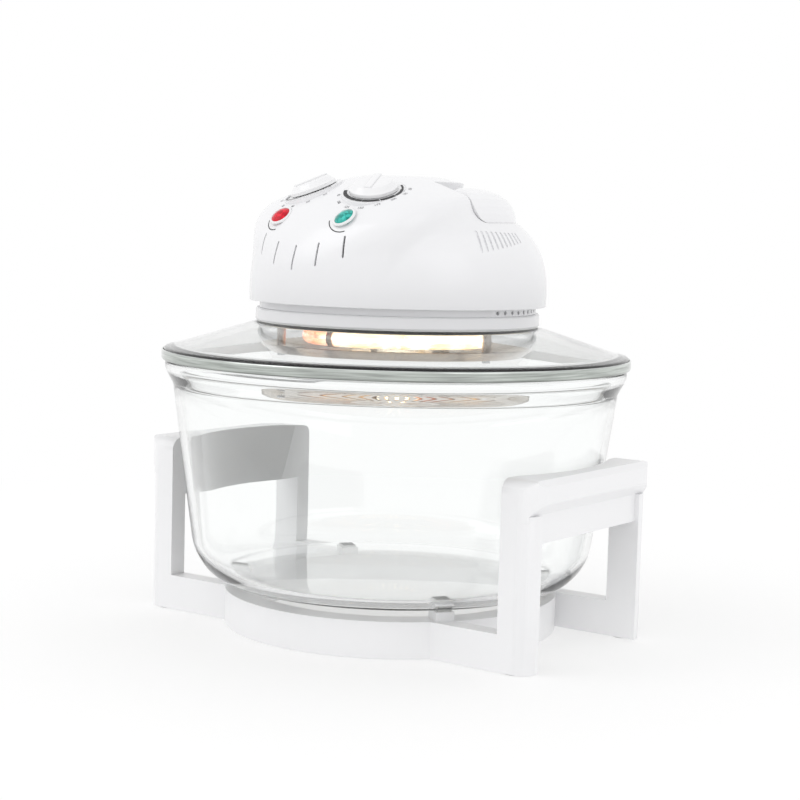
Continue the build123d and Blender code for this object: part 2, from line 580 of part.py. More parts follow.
def head_cover():
    """Moulded housing of the head with its control panel, bail seat, slits and screw bosses."""
    outside = cover_solid(0)
    cover = outside - recess(0, SEAT)
    cover += [disc_on(dial_frame(side), DIAL_RADIUS + DIAL_BORDER, -9, 0) for side in (-1, 1)]
    cover -= [disc_on(dial_frame(side), DIAL_RADIUS + DIAL_BORDER, 0, 12) for side in (-1, 1)]
    hollow = cover_solid(COVER_WALL) - recess(COVER_WALL, SEAT - COVER_WALL)
    cover -= hollow
    cover -= [disc_on(dial_frame(side), DIAL_RADIUS - DIAL_BORDER, -14, -COVER_WALL) for side in (-1, 1)]
    cover -= [disc_on(lens_frame(side), LENS_STEM_RADIUS + 0.2, -12, 5) for side in (-1, 1)]
    cover -= [disc_on(lens_frame(side), BEZEL_RADIUS + 0.1, 0, 8) for side in (-1, 1)]
    for side in (-1, 1):
        cover -= disc_on(dial_frame(side), SPINDLE_RADIUS + 0.4, -6, 2)
        for x in (-CONTROL_SCREW_X, CONTROL_SCREW_X):
            cover -= disc_on(dial_frame(side), CONTROL_SCREW_RADIUS + 0.25, -4, 2, x)
    cover -= front_slits() + side_slits()
    for x, y in COVER_SCREWS:
        boss = cylinder(4.5, BASE_TOP, HEAD_BOTTOM + 75, x, y) & (outside - recess(0, SEAT))
        cover += boss - cylinder(CLAMP_SCREW_RADIUS, BASE_TOP - 1, BASE_TOP + 14, x, y)
    cover += [pivot_ear(side) for side in (-1, 1)]
    cover -= cylinder(PLUNGER_RADIUS + 0.1, SEAT - 6, SEAT + 1, PLUNGER_X, PLUNGER_Y)
    inlet = Pos(0, HEAD_RADIUS - 4.5, HEAD_BOTTOM + INLET_HEIGHT) * Rot(90, 0, 0)
    return cover - inlet * Cylinder(INLET_RADIUS, 20)


def cover_screws():
    screws = []
    for x, y in COVER_SCREWS:
        seat = HEAD_BOTTOM + 1.8
        screws.append(cylinder(3.2, seat - 1.6, seat, x, y)
                      + cylinder(CLAMP_SCREW_RADIUS, seat, BASE_TOP + 12, x, y))
    return group(screws)


# ---- bail handle and its safety switch ----
# Half-section of the bail as (set in from its outer edge, height above the seat).
BAIL_ROUND = ((0.0, BAIL_GAP), (0.8, 6.0), (2.8, 11.0), (6.8, 16.0), (12.8, 20.0), (19.8, 22.6),
              (BAIL_WIDTH - 2.5, 23.4), (BAIL_WIDTH - 0.6, 22.6), (BAIL_WIDTH, 20.5), (BAIL_WIDTH, BAIL_GAP))


def bail_handle():
    """Half ring that lies folded on the back of the dome, with two arms that end at the pivots."""
    section = [(BAIL_INNER + BAIL_WIDTH - set_in, SEAT + rise) for set_in, rise in BAIL_ROUND]
    reach = BAIL_RISE + 2
    bail = spun(section) & block(-100, 100, 0, 100, SEAT, SEAT + 40)
    arm_face = make_face(Polyline(*[(r, 0, z) for r, z in section], close=True))
    arm = extrude(arm_face, reach, dir=(0, -1, 0))
    rounded = Pos(BAIL_INNER, 0, PIVOT_HEIGHT) * Rot(0, 90, 0) * Cylinder(BAIL_END, 80)
    arm = arm & rounded
    for piece in (arm, mirrored_x(arm)):
        bail += piece
    bore = Pos(0, 0, PIVOT_HEIGHT) * Rot(0, 90, 0) * Cylinder(PIN_RADIUS, 2 * (BAIL_INNER + PIN_GRIP))
    return bail - bore


def bail_pins():
    length = BAIL_INNER + PIN_GRIP - EAR_INNER
    lying = Rot(0, 90, 0) * Cylinder(PIN_RADIUS, length)
    return group([Pos(side * (EAR_INNER + length / 2), 0, PIVOT_HEIGHT) * lying for side in (-1, 1)])


PLUNGER_BOTTOM = SEAT - PLUNGER_LENGTH
SWITCH_SHELF = PLUNGER_BOTTOM + 3.0
COLLAR_LOW = SEAT - COVER_WALL - PLUNGER_STROKE - 2.6      # collar that the spring pushes up


def switch_plunger():
    """Pin pressed down by the folded bail; it rises and lets the switch open when the bail is lifted."""
    stem = cylinder(PLUNGER_RADIUS, PLUNGER_BOTTOM, SEAT + 0.05, PLUNGER_X, PLUNGER_Y)
    return stem + cylinder(2 * PLUNGER_RADIUS, COLLAR_LOW, COLLAR_LOW + 1.5, PLUNGER_X, PLUNGER_Y)


def plunger_spring():
    low, high = SWITCH_SHELF + SPRING_WIRE, COLLAR_LOW - SPRING_WIRE
    coil = Helix((high - low) / 4, high - low, 3.1, center=(0, 0, low))
    start = coil @ 0
    wire = sweep((Plane(origin=start, z_dir=coil % 0) * Circle(SPRING_WIRE)), path=coil)
    return Pos(PLUNGER_X, PLUNGER_Y, 0) * wire


def switch_bracket():
    """Folded strip that stands on the base plate and holds the switch under the plunger."""
    y0, y1 = PLUNGER_Y - SWITCH_HALF, PLUNGER_Y + SWITCH_HALF
    shelf = block(PLUNGER_X - 14, PLUNGER_X + 6, y0, y1, SWITCH_SHELF - SHEET, SWITCH_SHELF)
    shelf -= cylinder(PLUNGER_RADIUS + 0.3, SWITCH_SHELF - 5, SWITCH_SHELF + 5, PLUNGER_X, PLUNGER_Y)
    post = block(PLUNGER_X - 14, PLUNGER_X - 14 + SHEET, y0, y1, BASE_TOP, SWITCH_SHELF)
    foot = block(PLUNGER_X - 14, PLUNGER_X - 2, y0, y1, BASE_TOP, BASE_TOP + SHEET)
    return shelf + post + foot


def microswitch():
    top = PLUNGER_BOTTOM - 1.2
    left = PLUNGER_X - 14 + SHEET
    body = block(left, left + 19.8, PLUNGER_Y - 3.2, PLUNGER_Y + 3.2, top - 10, top)
    button = block(PLUNGER_X - 1.5, PLUNGER_X + 1.5, PLUNGER_Y - 1.5, PLUNGER_Y + 1.5, top, PLUNGER_BOTTOM)
    blades = [block(left + x, left + x + 1, PLUNGER_Y - 2, PLUNGER_Y + 2, top - 16, top - 10)
              for x in (3.0, 9.0, 16.0)]
    return body + button + blades


# ---- controls ----
def dial_plate(side):
    frame = dial_frame(side)
    plate = disc_on(frame, DIAL_RADIUS, 0, DIAL_THICKNESS) - disc_on(frame, SPINDLE_RADIUS + 0.4, -1, 3)
    for x in (-CONTROL_SCREW_X, CONTROL_SCREW_X):
        plate -= disc_on(frame, CONTROL_SCREW_HEAD + 0.1, -1, 3, x)
    return plate


def knob(side):
    """Round knob with a finger bar across it and a blind bore for the spindle."""
    low = DIAL_THICKNESS + KNOB_GAP
    top = low + KNOB_HEIGHT
    skirt = spun([(0, low), (KNOB_RADIUS, low), (KNOB_RADIUS, low + 2.2), (KNOB_RADIUS - 1.4, low + 3.2),
                  (KNOB_RADIUS - 2.6, top - 2.2), (KNOB_RADIUS - 3.6, top - 1.0),
                  (KNOB_RADIUS - 5.2, top - 0.4), (0, top - 0.4)])
    finger_bar = block(-2.6, 2.6, KNOB_SKIRT - KNOB_RADIUS, KNOB_RADIUS - KNOB_SKIRT, top - 1.5, top + 0.6)
    finger_bar = fillet(finger_bar.edges().group_by(Axis.Z)[-1], 0.9)
    hollow = ring(KNOB_RADIUS - KNOB_SKIRT, 2 * SPINDLE_RADIUS, low - 1, top - KNOB_ROOF + 0.6)
    bore = cylinder(SPINDLE_RADIUS + 0.02, low - 1, top - KNOB_ROOF)
    return dial_frame(side) * (skirt + finger_bar - hollow - bore)


def control_unit(side, radius, depth):
    """Clockwork timer or thermostat, screwed up against the cover's flat."""
    frame = dial_frame(side)
    face = -COVER_WALL
    unit = disc_on(frame, radius, face - depth, face)
    unit += disc_on(frame, radius - 3, face - depth - 3, face - depth + 1)
    unit -= disc_on(frame, SPINDLE_RADIUS + RUNNING_FIT, face - depth + 6, face + 1)
    for x in (-CONTROL_SCREW_X, CONTROL_SCREW_X):
        unit -= disc_on(frame, CONTROL_SCREW_RADIUS + 0.05, face - 6, face + 1, x)
    blades = [frame * block(x - 2, x + 2, -0.4, 0.4, face - depth - 9, face - depth - 2) for x in (-7.0, 7.0)]
    return unit + blades


def spindle(side, depth):
    top = DIAL_THICKNESS + KNOB_GAP + KNOB_HEIGHT - KNOB_ROOF
    return disc_on(dial_frame(side), SPINDLE_RADIUS, -COVER_WALL - depth + 6, top)


def control_screws():
    """Two screws under each knob hold the timer and the thermostat."""
    screws = []
    for side in (-1, 1):
        for x in (-CONTROL_SCREW_X, CONTROL_SCREW_X):
            frame = dial_frame(side)
            shank = disc_on(frame, CONTROL_SCREW_RADIUS, -COVER_WALL - 5, 0.1, x)
            screws.append(shank + disc_on(frame, CONTROL_SCREW_HEAD, 0, DIAL_THICKNESS, x))
    return group(screws)


def lamp_lens(side):
    """Domed lens with a stem that goes through the cover."""
    dome_rise = 2.6
    sphere_radius = (LENS_RADIUS**2 + dome_rise**2) / (2 * dome_rise)
    dome = Pos(0, 0, 0.8 + dome_rise - sphere_radius) * Sphere(sphere_radius)
    dome = (dome & cylinder(LENS_RADIUS, 0.8, 6)) + cylinder(LENS_RADIUS, 0, 0.8)
    return lens_frame(side) * (dome + cylinder(LENS_STEM_RADIUS, -9, 0.4))


def lamp_bezels():
    frames = [lens_frame(side) for side in (-1, 1)]
    bezel = spun([(LENS_RADIUS + 0.05, 0), (BEZEL_RADIUS, 0), (BEZEL_RADIUS, 0.8), (BEZEL_RADIUS - 0.5, 1.4),
                  (LENS_RADIUS + 0.3, 1.4), (LENS_RADIUS + 0.05, 1.1)])
    return group([frame * bezel for frame in frames])


def lamp_holders():
    """Neon lamp bodies pushed on to the lens stems from inside."""
    holders = []
    for side in (-1, 1):
        frame = lens_frame(side)
        body = disc_on(frame, LENS_RADIUS + 0.6, -18, -5.5)
        holders.append(body - disc_on(frame, LENS_STEM_RADIUS + 0.05, -9.05, 0))
    return group(holders)


# ---- heater chamber under the lid ----
def reflector():
    """Polished dish whose flange clamps the lid's glass from below."""
    inner = REFLECTOR_RADIUS - SHEET
    edge = REFLECTOR_RADIUS + REFLECTOR_FLANGE
    dish = spun([(0, REFLECTOR_TOP), (inner, REFLECTOR_TOP), (inner, FLANGE_Z - SHEET),
                 (edge, FLANGE_Z - SHEET), (edge, FLANGE_Z), (REFLECTOR_RADIUS, FLANGE_Z),
                 (REFLECTOR_RADIUS, REFLECTOR_TOP + SHEET), (0, REFLECTOR_TOP + SHEET)])
    dish -= cylinder(5.0, REFLECTOR_TOP - 1, REFLECTOR_TOP + 3)
    for x, y in clamp_points():
        dish -= cylinder(CLAMP_SCREW_RADIUS + 0.1, REFLECTOR_TOP - 1, REFLECTOR_TOP + 3, x, y)
    return dish


def chamber_spacers():
    return group([ring(SPACER_RADIUS, CLAMP_SCREW_RADIUS + 0.1, REFLECTOR_TOP + SHEET, HEAD_BOTTOM, x, y)
                  for x, y in clamp_points()])


def reflector_screws():
    screws = []
    for x, y in clamp_points():
        screws.append(cylinder(3.4, REFLECTOR_TOP - 2, REFLECTOR_TOP, x, y)
                      + cylinder(CLAMP_SCREW_RADIUS, REFLECTOR_TOP - 1, BASE_TOP + 5, x, y))
    return group(screws)


def heat_shield():
    """Aluminium disc between the hot reflector and the plastic floor of the head."""
    middle = (REFLECTOR_TOP + SHEET + HEAD_BOTTOM) / 2
    disc = cylinder(REFLECTOR_RADIUS - 2.0, middle - 0.4, middle + 0.4)
    disc -= cylinder(FAN_BORE, middle - 1, middle + 1)
    for x, y in clamp_points():
        disc -= cylinder(SPACER_RADIUS + 0.05, middle - 1, middle + 1, x, y)
    return disc


def arc_of_tube(section_radius, hole_radius=0.0):
    """Part of a ring, open at the back where the sockets are."""
    face = Plane.XZ * Pos(TUBE_RING_RADIUS, TUBE_Z) * Circle(section_radius)
    if hole_radius:
        face -= Plane.XZ * Pos(TUBE_RING_RADIUS, TUBE_Z) * Circle(hole_radius)
    swept = revolve(face, Axis.Z, 360 - TUBE_GAP_ANGLE)
    return swept.rotate(Axis.Z, 90 + TUBE_GAP_ANGLE / 2)


def halogen_tube():
    return arc_of_tube(TUBE_RADIUS, TUBE_RADIUS - TUBE_WALL)


def filament():
    return arc_of_tube(FILAMENT_RADIUS)


def lamp_sockets():
    """Ceramic blocks that hold the two ends of the lamp under the reflector."""
    sockets = []
    for side in (-1, 1):
        socket = block(-7, 7, TUBE_RING_RADIUS - 7, TUBE_RING_RADIUS + 7, TUBE_Z - 7, REFLECTOR_TOP)
        socket -= block(-8, 8, TUBE_RING_RADIUS - 8, TUBE_RING_RADIUS - 3, TUBE_Z + 8, REFLECTOR_TOP - 4)
        turn = side * (TUBE_GAP_ANGLE / 2)
        socket = socket.rotate(Axis.Z, turn)
        sockets.append(socket - half_space(turn, side))
    return group(sockets)


def half_space(turn, side):
    """Everything on the lamp's side of a socket's face."""
    cut = block(0, -side * 30, 20, 120, TUBE_Z - 20, REFLECTOR_TOP + 5)
    return cut.rotate(Axis.Z, turn)


def lamp_clips():
    """Spring-steel strips that hang from the reflector and grip the lamp."""
    clips = []
    for angle in (30.0, 150.0, 270.0):
        loop = Pos(TUBE_RING_RADIUS, 0, TUBE_Z) * Rot(90, 0, 0)
        hook = loop * (Cylinder(TUBE_RADIUS + 0.9, 5) - Cylinder(TUBE_RADIUS + 0.1, 6))
        strip = block(TUBE_RING_RADIUS - 0.4, TUBE_RING_RADIUS + 0.4, -2.5, 2.5, TUBE_Z + TUBE_RADIUS + 0.5,
                      REFLECTOR_TOP)
        clips.append((hook + strip).rotate(Axis.Z, angle))
    return group(clips)


def post_points():
    return [(POST_CIRCLE * cos(radians(a)), POST_CIRCLE * sin(radians(a))) for a in POST_ANGLES]


def fan_guard():
    """Shallow slotted pan under the lamp with a flared rim."""
    low = GUARD_FLOOR
    pan = spun([(0, low), (GUARD_RADIUS, low), (GUARD_RADIUS + GUARD_RIM_WIDTH, low + GUARD_RIM_RISE - 0.3),
                (GUARD_RADIUS + GUARD_RIM_WIDTH - 0.4, low + GUARD_RIM_RISE),
                (GUARD_RADIUS - 0.8, low + 0.8), (0, low + 0.8)])
    slot = block(32, 79, -1.4, 1.4, low - 1, low + 2)
    pan -= around(slot, [10.0 * index + 5 for index in range(36)])
    inner_slot = block(10, 26, -1.2, 1.2, low - 1, low + 2)
    pan -= around(inner_slot, [30.0 * index for index in range(12)])
    for x, y in post_points():
        pan -= cylinder(1.6, low - 1, low + 2, x, y)
    return pan


def guard_posts():
    return group([ring(POST_RADIUS, 1.6, GUARD_FLOOR + 0.8, FLANGE_Z - SHEET, x, y)
                  for x, y in post_points()])


def guard_screws():
    screws = []
    for x, y in post_points():
        screws.append(cylinder(2.8, GUARD_FLOOR - 1.6, GUARD_FLOOR, x, y)
                      + cylinder(1.5, GUARD_FLOOR - 1, FLANGE_Z - SHEET, x, y))
    return group(screws)


def fan(radius, hub_radius, low, high, blades, lean):
    """Pressed fan: hub, thin disc and upright vanes, bored for the shaft."""
    wheel = cylinder(hub_radius, low, high) + cylinder(radius - 4, high - SHEET, high)
    vane = block(hub_radius - 2, radius, -0.5, 0.5, low, high)
    vane = Pos(0, lean, 0) * vane
    for index in range(blades):
        wheel += vane.rotate(Axis.Z, index * 360 / blades)
    return wheel - cylinder(SHAFT_RADIUS, low - 1, high + 1)


def convection_fan():
    return fan(FAN_RADIUS, 7.0, TUBE_Z - 1, TUBE_Z + 9, 8, 4.0)


def thermal_fuse():
    """Cut-out that lies clipped on the reflector's back."""
    return Pos(40, 30, REFLECTOR_TOP + SHEET + 1.5) * Rot(0, 90, 0) * Cylinder(1.5, 12)


# ---- motor ----
BRACKET_LOW = BASE_TOP + 13.5
BRACKET_SHEET = 1.5
STATOR_LOW = BRACKET_LOW + BRACKET_SHEET + 4.5
STATOR_TOP = STATOR_LOW + STATOR_HEIGHT
BRACKET_HIGH = STATOR_TOP + 6.0
TIE_X = 22.0
TIE_RADIUS = 1.75


def motor_bracket_lower():
    """Steel bridge on the base plate that carries the motor above the cooling fan."""
    high = BRACKET_LOW + BRACKET_SHEET
    bridge = block(-50, 50, -BRIDGE_HALF, BRIDGE_HALF, BRACKET_LOW, high)
    for end in (-1, 1):
        bridge += block(end * 48.5, end * 50, -BRIDGE_HALF, BRIDGE_HALF, BASE_TOP, high)
        bridge += block(end * 48.5, end * 60, -BRIDGE_HALF, BRIDGE_HALF, BASE_TOP, BASE_TOP + BRACKET_SHEET)
    return bridge - bush_hole(BRACKET_LOW) - tie_holes(BRACKET_LOW - 1, high + 1)


def motor_bracket_upper():
    bridge = block(-28, 28, -BRIDGE_HALF, BRIDGE_HALF, BRACKET_HIGH, BRACKET_HIGH + BRACKET_SHEET)
    return bridge - bush_hole(BRACKET_HIGH) - tie_holes(BRACKET_HIGH - 1, BRACKET_HIGH + 3)


def bush_hole(height):
    return cylinder(7.0, height - 1, height + BRACKET_SHEET + 1)


def tie_holes(low, high):
    return [cylinder(TIE_RADIUS + 0.05, low, high, x) for x in (-TIE_X, TIE_X)]


def shaft_bushes():
    """Sintered bronze bushes in the two brackets."""
    bushes = []
    for height in (BRACKET_LOW, BRACKET_HIGH):
        bushes.append(ring(7.0, SHAFT_RADIUS + RUNNING_FIT, height - 1.5, height + BRACKET_SHEET + 1.5))
    return group(bushes)


COIL_WINDOW_Y = 24.0


def stator_core():
    """Laminated frame with a round bore for the rotor and a leg for the coil."""
    core = block(-28, 28, -20, 40, STATOR_LOW, STATOR_TOP)
    core -= block(-20, 20, 18, 28, STATOR_LOW - 1, STATOR_TOP + 1)
    core -= cylinder(ROTOR_RADIUS + ROTOR_GAP, STATOR_LOW - 1, STATOR_TOP + 1)
    return core - tie_holes(STATOR_LOW - 1, STATOR_TOP + 1)


def stator_coil():
    """Wound bobbin round the leg behind the window."""
    low, high = STATOR_LOW - 6, STATOR_TOP + 6
    coil = block(-17, 17, 19, 49, low, high)
    return coil - block(-18, 18, 28, 40, STATOR_LOW, STATOR_TOP)


def rotor_core():
    return ring(ROTOR_RADIUS, SHAFT_RADIUS, STATOR_LOW, STATOR_TOP)


def motor_shaft():
    return cylinder(SHAFT_RADIUS, TUBE_Z - 3, BRACKET_HIGH + 6)


def cooling_fan():
    return fan(COOLING_FAN_RADIUS, 7.0, BASE_TOP + 2.5, BRACKET_LOW - 2.2, 10, 3.0)


def motor_spacers():
    tubes = []
    for x in (-TIE_X, TIE_X):
        for low, high in ((BRACKET_LOW + BRACKET_SHEET, STATOR_LOW), (STATOR_TOP, BRACKET_HIGH)):
            tubes.append(ring(3.5, TIE_RADIUS + 0.05, low, high, x))
    return group(tubes)


def motor_screws():
    screws = []
    top = BRACKET_HIGH + BRACKET_SHEET
    for x in (-TIE_X, TIE_X):
        screws.append(cylinder(3.2, top, top + 2.2, x) + cylinder(TIE_RADIUS, BRACKET_LOW - 1.5, top + 1, x))
    return group(screws)


def terminal_block():
    body = block(-18, 18, 62, 74, BASE_TOP, BASE_TOP + 12)
    for x in (-12.0, 0.0, 12.0):
        body -= cylinder(2.2, BASE_TOP + 5, BASE_TOP + 13, x, 68)
    return body


def cord_inlet():
    """Moulded bush in the back of the cover, bored for a mains cord."""
    place = Pos(0, 0, HEAD_BOTTOM + INLET_HEIGHT) * Rot(-90, 0, 0)
    wall_outside = HEAD_RADIUS - DOME_SECTION[1][1]
    bush = cylinder(INLET_RADIUS - 0.05, wall_outside - 10, wall_outside + 6)
    bush += cylinder(INLET_RADIUS + 2.5, wall_outside + 1.0, wall_outside + 3.5)
    bush += cylinder(INLET_RADIUS + 2.0, wall_outside - 8, wall_outside - 5.0)
    return place * (bush - cylinder(CORD_RADIUS, wall_outside - 12, wall_outside + 8))


# ---- writing the pieces ----
STANDING = {
    "stand_base": stand_base(),
    "handle_frame_right": handle_frame(1),
    "handle_frame_left": handle_frame(-1),
    "stand_screws": stand_screws(),
    "rubber_feet": rubber_feet(),
    "bowl_pads": bowl_pads(),
    "glass_bowl": glass_bowl(),
}

TURNED = {
    "lid_glass": lid_glass(),
    "lid_band": lid_band(),
    "lid_seal": lid_seal(),
    "lid_gasket": lid_gasket(),
    "collar_ring": collar_ring(),
    "vent_ring": vent_ring(),
    "base_plate": base_plate(),
    "head_cover": head_cover(),
    "cover_screws": cover_screws(),
    "bail_handle": bail_handle(),
    "bail_pins": bail_pins(),
    "switch_plunger": switch_plunger(),
    "plunger_spring": plunger_spring(),
    "switch_bracket": switch_bracket(),
    "microswitch": microswitch(),
    "timer_dial": dial_plate(-1),
    "timer_knob": knob(-1),
    "timer_spindle": spindle(-1, TIMER_DEPTH),
    "timer_unit": control_unit(-1, TIMER_RADIUS, TIMER_DEPTH),
    "thermostat_dial": dial_plate(1),
    "thermostat_knob": knob(1),
    "thermostat_spindle": spindle(1, THERMOSTAT_DEPTH),
    "thermostat_unit": control_unit(1, THERMOSTAT_RADIUS, THERMOSTAT_DEPTH),
    "control_screws": control_screws(),
    "power_lens": lamp_lens(-1),
    "heat_lens": lamp_lens(1),
    "lamp_bezels": lamp_bezels(),
    "lamp_holders": lamp_holders(),
    "reflector": reflector(),
    "chamber_spacers": chamber_spacers(),
    "reflector_screws": reflector_screws(),
    "heat_shield": heat_shield(),
    "halogen_tube": halogen_tube(),
    "filament": filament(),
    "lamp_sockets": lamp_sockets(),
    "lamp_clips": lamp_clips(),
    "fan_guard": fan_guard(),
    "guard_posts": guard_posts(),
    "guard_screws": guard_screws(),
    "convection_fan": convection_fan(),
    "thermal_fuse": thermal_fuse(),
    "motor_bracket_lower": motor_bracket_lower(),
    "motor_bracket_upper": motor_bracket_upper(),
    "shaft_bushes": shaft_bushes(),
    "stator_core": stator_core(),
    "stator_coil": stator_coil(),
    "rotor_core": rotor_core(),
    "motor_shaft": motor_shaft(),
    "cooling_fan": cooling_fan(),
    "motor_spacers": motor_spacers(),
    "motor_screws": motor_screws(),
    "terminal_block": terminal_block(),
    "cord_inlet": cord_inlet(),
}

os.makedirs("parts", exist_ok=True)
for node, piece in STANDING.items():
    export_step(group([piece]), f"parts/{node}.step")
for node, piece in TURNED.items():
    export_step(group([piece]).rotate(Axis.Z, LID_TURN), f"parts/{node}.step")
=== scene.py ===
import math
import bmesh
import bpy
from mathutils import Matrix, Vector
from mathutils.bvhtree import BVHTree


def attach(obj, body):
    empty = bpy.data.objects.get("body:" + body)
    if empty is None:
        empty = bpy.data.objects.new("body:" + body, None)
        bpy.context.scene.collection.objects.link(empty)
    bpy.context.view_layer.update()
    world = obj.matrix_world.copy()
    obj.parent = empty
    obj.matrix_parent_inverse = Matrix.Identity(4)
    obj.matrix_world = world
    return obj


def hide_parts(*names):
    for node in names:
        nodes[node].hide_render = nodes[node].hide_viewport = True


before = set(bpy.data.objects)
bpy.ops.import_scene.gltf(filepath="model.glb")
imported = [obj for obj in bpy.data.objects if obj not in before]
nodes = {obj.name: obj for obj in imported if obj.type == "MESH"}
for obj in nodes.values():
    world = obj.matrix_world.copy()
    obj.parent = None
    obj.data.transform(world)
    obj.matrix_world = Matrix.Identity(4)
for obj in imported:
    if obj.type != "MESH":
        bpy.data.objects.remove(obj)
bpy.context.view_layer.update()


# ---- Stand: ring with four low bars and two carrying handles ----
# Three injection mouldings in glossy white plastic. The handles' legs are pushed over tenons on the
# bars and screwed from below. The tool left a very fine orange peel on every face.
def effect_group(name, inputs, outputs):
    """A shader node group with named inputs and outputs, to be filled with nodes."""
    tree = bpy.data.node_groups.new(name, "ShaderNodeTree")
    for label, kind, value in inputs:
        socket = tree.interface.new_socket(label, in_out="INPUT", socket_type=kind)
        socket.default_value = value
    for label, kind in outputs:
        tree.interface.new_socket(label, in_out="OUTPUT", socket_type=kind)
    return tree, tree.nodes.new("NodeGroupInput"), tree.nodes.new("NodeGroupOutput")


def place_on_piece(tree):
    """The point being coloured, in the piece's own space in metres."""
    return tree.nodes.new("ShaderNodeTexCoord").outputs["Object"]


def noise(tree, vector, scale, detail, roughness=0.5):
    node = tree.nodes.new("ShaderNodeTexNoise")
    node.inputs["Scale"].default_value = scale
    node.inputs["Detail"].default_value = detail
    node.inputs["Roughness"].default_value = roughness
    tree.links.new(vector, node.inputs["Vector"])
    return node.outputs["Fac"]


def reckon(tree, operation, first, second=0.0):
    """One step of arithmetic on numbers or on values that change over the surface."""
    node = tree.nodes.new("ShaderNodeMath")
    node.operation = operation
    for socket, value in zip(node.inputs, (first, second)):
        if isinstance(value, (int, float)):
            socket.default_value = value
        else:
            tree.links.new(value, socket)
    return node.outputs[0]


def blended(tree, factor, first, second, blend="MIX"):
    """Two colours mixed, or multiplied, by a factor."""
    node = tree.nodes.new("ShaderNodeMix")
    node.data_type = "RGBA"
    node.blend_type = blend
    for socket, value in ((node.inputs[0], factor), (node.inputs[6], first), (node.inputs[7], second)):
        if isinstance(value, (tuple, float)):
            socket.default_value = value
        else:
            tree.links.new(value, socket)
    return node.outputs[2]


def remapped(tree, value, low, high, new_low, new_high):
    """A value stretched from one range to another and held at its ends."""
    node = tree.nodes.new("ShaderNodeMapRange")
    tree.links.new(value, node.inputs["Value"])
    for label, number in (("From Min", low), ("From Max", high), ("To Min", new_low), ("To Max", new_high)):
        node.inputs[label].default_value = number
    return node.outputs["Result"]


COLOUR, VALUE = "NodeSocketColor", "NodeSocketFloat"

moulded_skin, into, out = effect_group(
    "Moulded skin",
    [("Colour", COLOUR, (0.8, 0.8, 0.8, 1)), ("Shade", COLOUR, (0.7, 0.7, 0.7, 1)),
     ("Flow marks", VALUE, 0.3), ("Gloss", VALUE, 0.3), ("Peel size", VALUE, 700.0)],
    [("Colour", COLOUR), ("Roughness", VALUE), ("Height", VALUE)])
place = place_on_piece(moulded_skin)
cloud = remapped(moulded_skin, noise(moulded_skin, place, 14.0, 3.0), 0.35, 0.7, 0.0, 1.0)
streak = reckon(moulded_skin, "MULTIPLY", cloud, into.outputs["Flow marks"])
moulded_skin.links.new(blended(moulded_skin, streak, into.outputs["Colour"], into.outputs["Shade"]),
                       out.inputs["Colour"])
smear = remapped(moulded_skin, noise(moulded_skin, place, 45.0, 3.0), 0.3, 0.7, -0.03, 0.05)
moulded_skin.links.new(reckon(moulded_skin, "ADD", into.outputs["Gloss"], smear), out.inputs["Roughness"])
peel = moulded_skin.nodes.new("ShaderNodeTexNoise")
peel.inputs["Detail"].default_value = 1.0
moulded_skin.links.new(place, peel.inputs["Vector"])
moulded_skin.links.new(into.outputs["Peel size"], peel.inputs["Scale"])
moulded_skin.links.new(peel.outputs["Fac"], out.inputs["Height"])


def blank(name):
    """A new material, its node tree and its shader."""
    made = bpy.data.materials.new(name)
    made.use_nodes = True
    return made, made.node_tree, made.node_tree.nodes["Principled BSDF"]


def effect(tree, group, **values):
    """An effect group placed in a material with its own values."""
    node = tree.nodes.new("ShaderNodeGroup")
    node.node_tree = group
    for label, value in values.items():
        node.inputs[label.replace("_", " ")].default_value = value
    return node


def coloured(tree, surface, skin, smeared=True):
    """Colour from an effect group, and its uneven gloss where the finish shows one."""
    tree.links.new(skin.outputs["Colour"], surface.inputs["Base Color"])
    if smeared:
        tree.links.new(skin.outputs["Roughness"], surface.inputs["Roughness"])


def relief(tree, surface, height, strength, depth, edge=None):
    """Bump from a height, over edges rounded by a small radius in metres."""
    bump = tree.nodes.new("ShaderNodeBump")
    bump.inputs["Strength"].default_value = strength
    bump.inputs["Distance"].default_value = depth
    tree.links.new(height, bump.inputs["Height"])
    if edge:
        rounding = tree.nodes.new("ShaderNodeBevel")
        rounding.samples = 4
        rounding.inputs["Radius"].default_value = edge
        tree.links.new(rounding.outputs["Normal"], bump.inputs["Normal"])
    tree.links.new(bump.outputs["Normal"], surface.inputs["Normal"])


def plastic(name, colour, gloss, edge, flow=0.35, peel_size=700.0, peel_depth=0.00002, shade=0.93, coat=0.0,
            smeared=True):
    """Moulded plastic with faint flow marks, a little smeared, and a fine orange peel."""
    made, tree, surface = blank(name)
    skin = effect(tree, moulded_skin, Colour=(*colour, 1), Shade=(*[c * shade for c in colour], 1),
                  Flow_marks=flow, Gloss=gloss, Peel_size=peel_size)
    surface.inputs["Roughness"].default_value = gloss
    coloured(tree, surface, skin, smeared)
    surface.inputs["Coat Weight"].default_value = coat
    surface.inputs["Coat Roughness"].default_value = 0.08
    relief(tree, surface, skin.outputs["Height"], 0.5, peel_depth, edge)
    return made


def dress(material, *names):
    """Gives nodes of the frame their material."""
    for name in names:
        mesh = nodes[name].data
        mesh.materials.clear()
        mesh.materials.append(material)


def softened(width, *names):
    """Real rounded edges on the mouldings, for the light to catch."""
    for name in names:
        joined = nodes[name].modifiers.new("joined", "WELD")
        joined.merge_threshold = 0.00001
        rounding = nodes[name].modifiers.new("rounded edges", "BEVEL")
        rounding.width = width
        rounding.segments = 2
        rounding.limit_method = "ANGLE"
        rounding.angle_limit = math.radians(35)
        rounding.use_clamp_overlap = True
        rounding.harden_normals = True


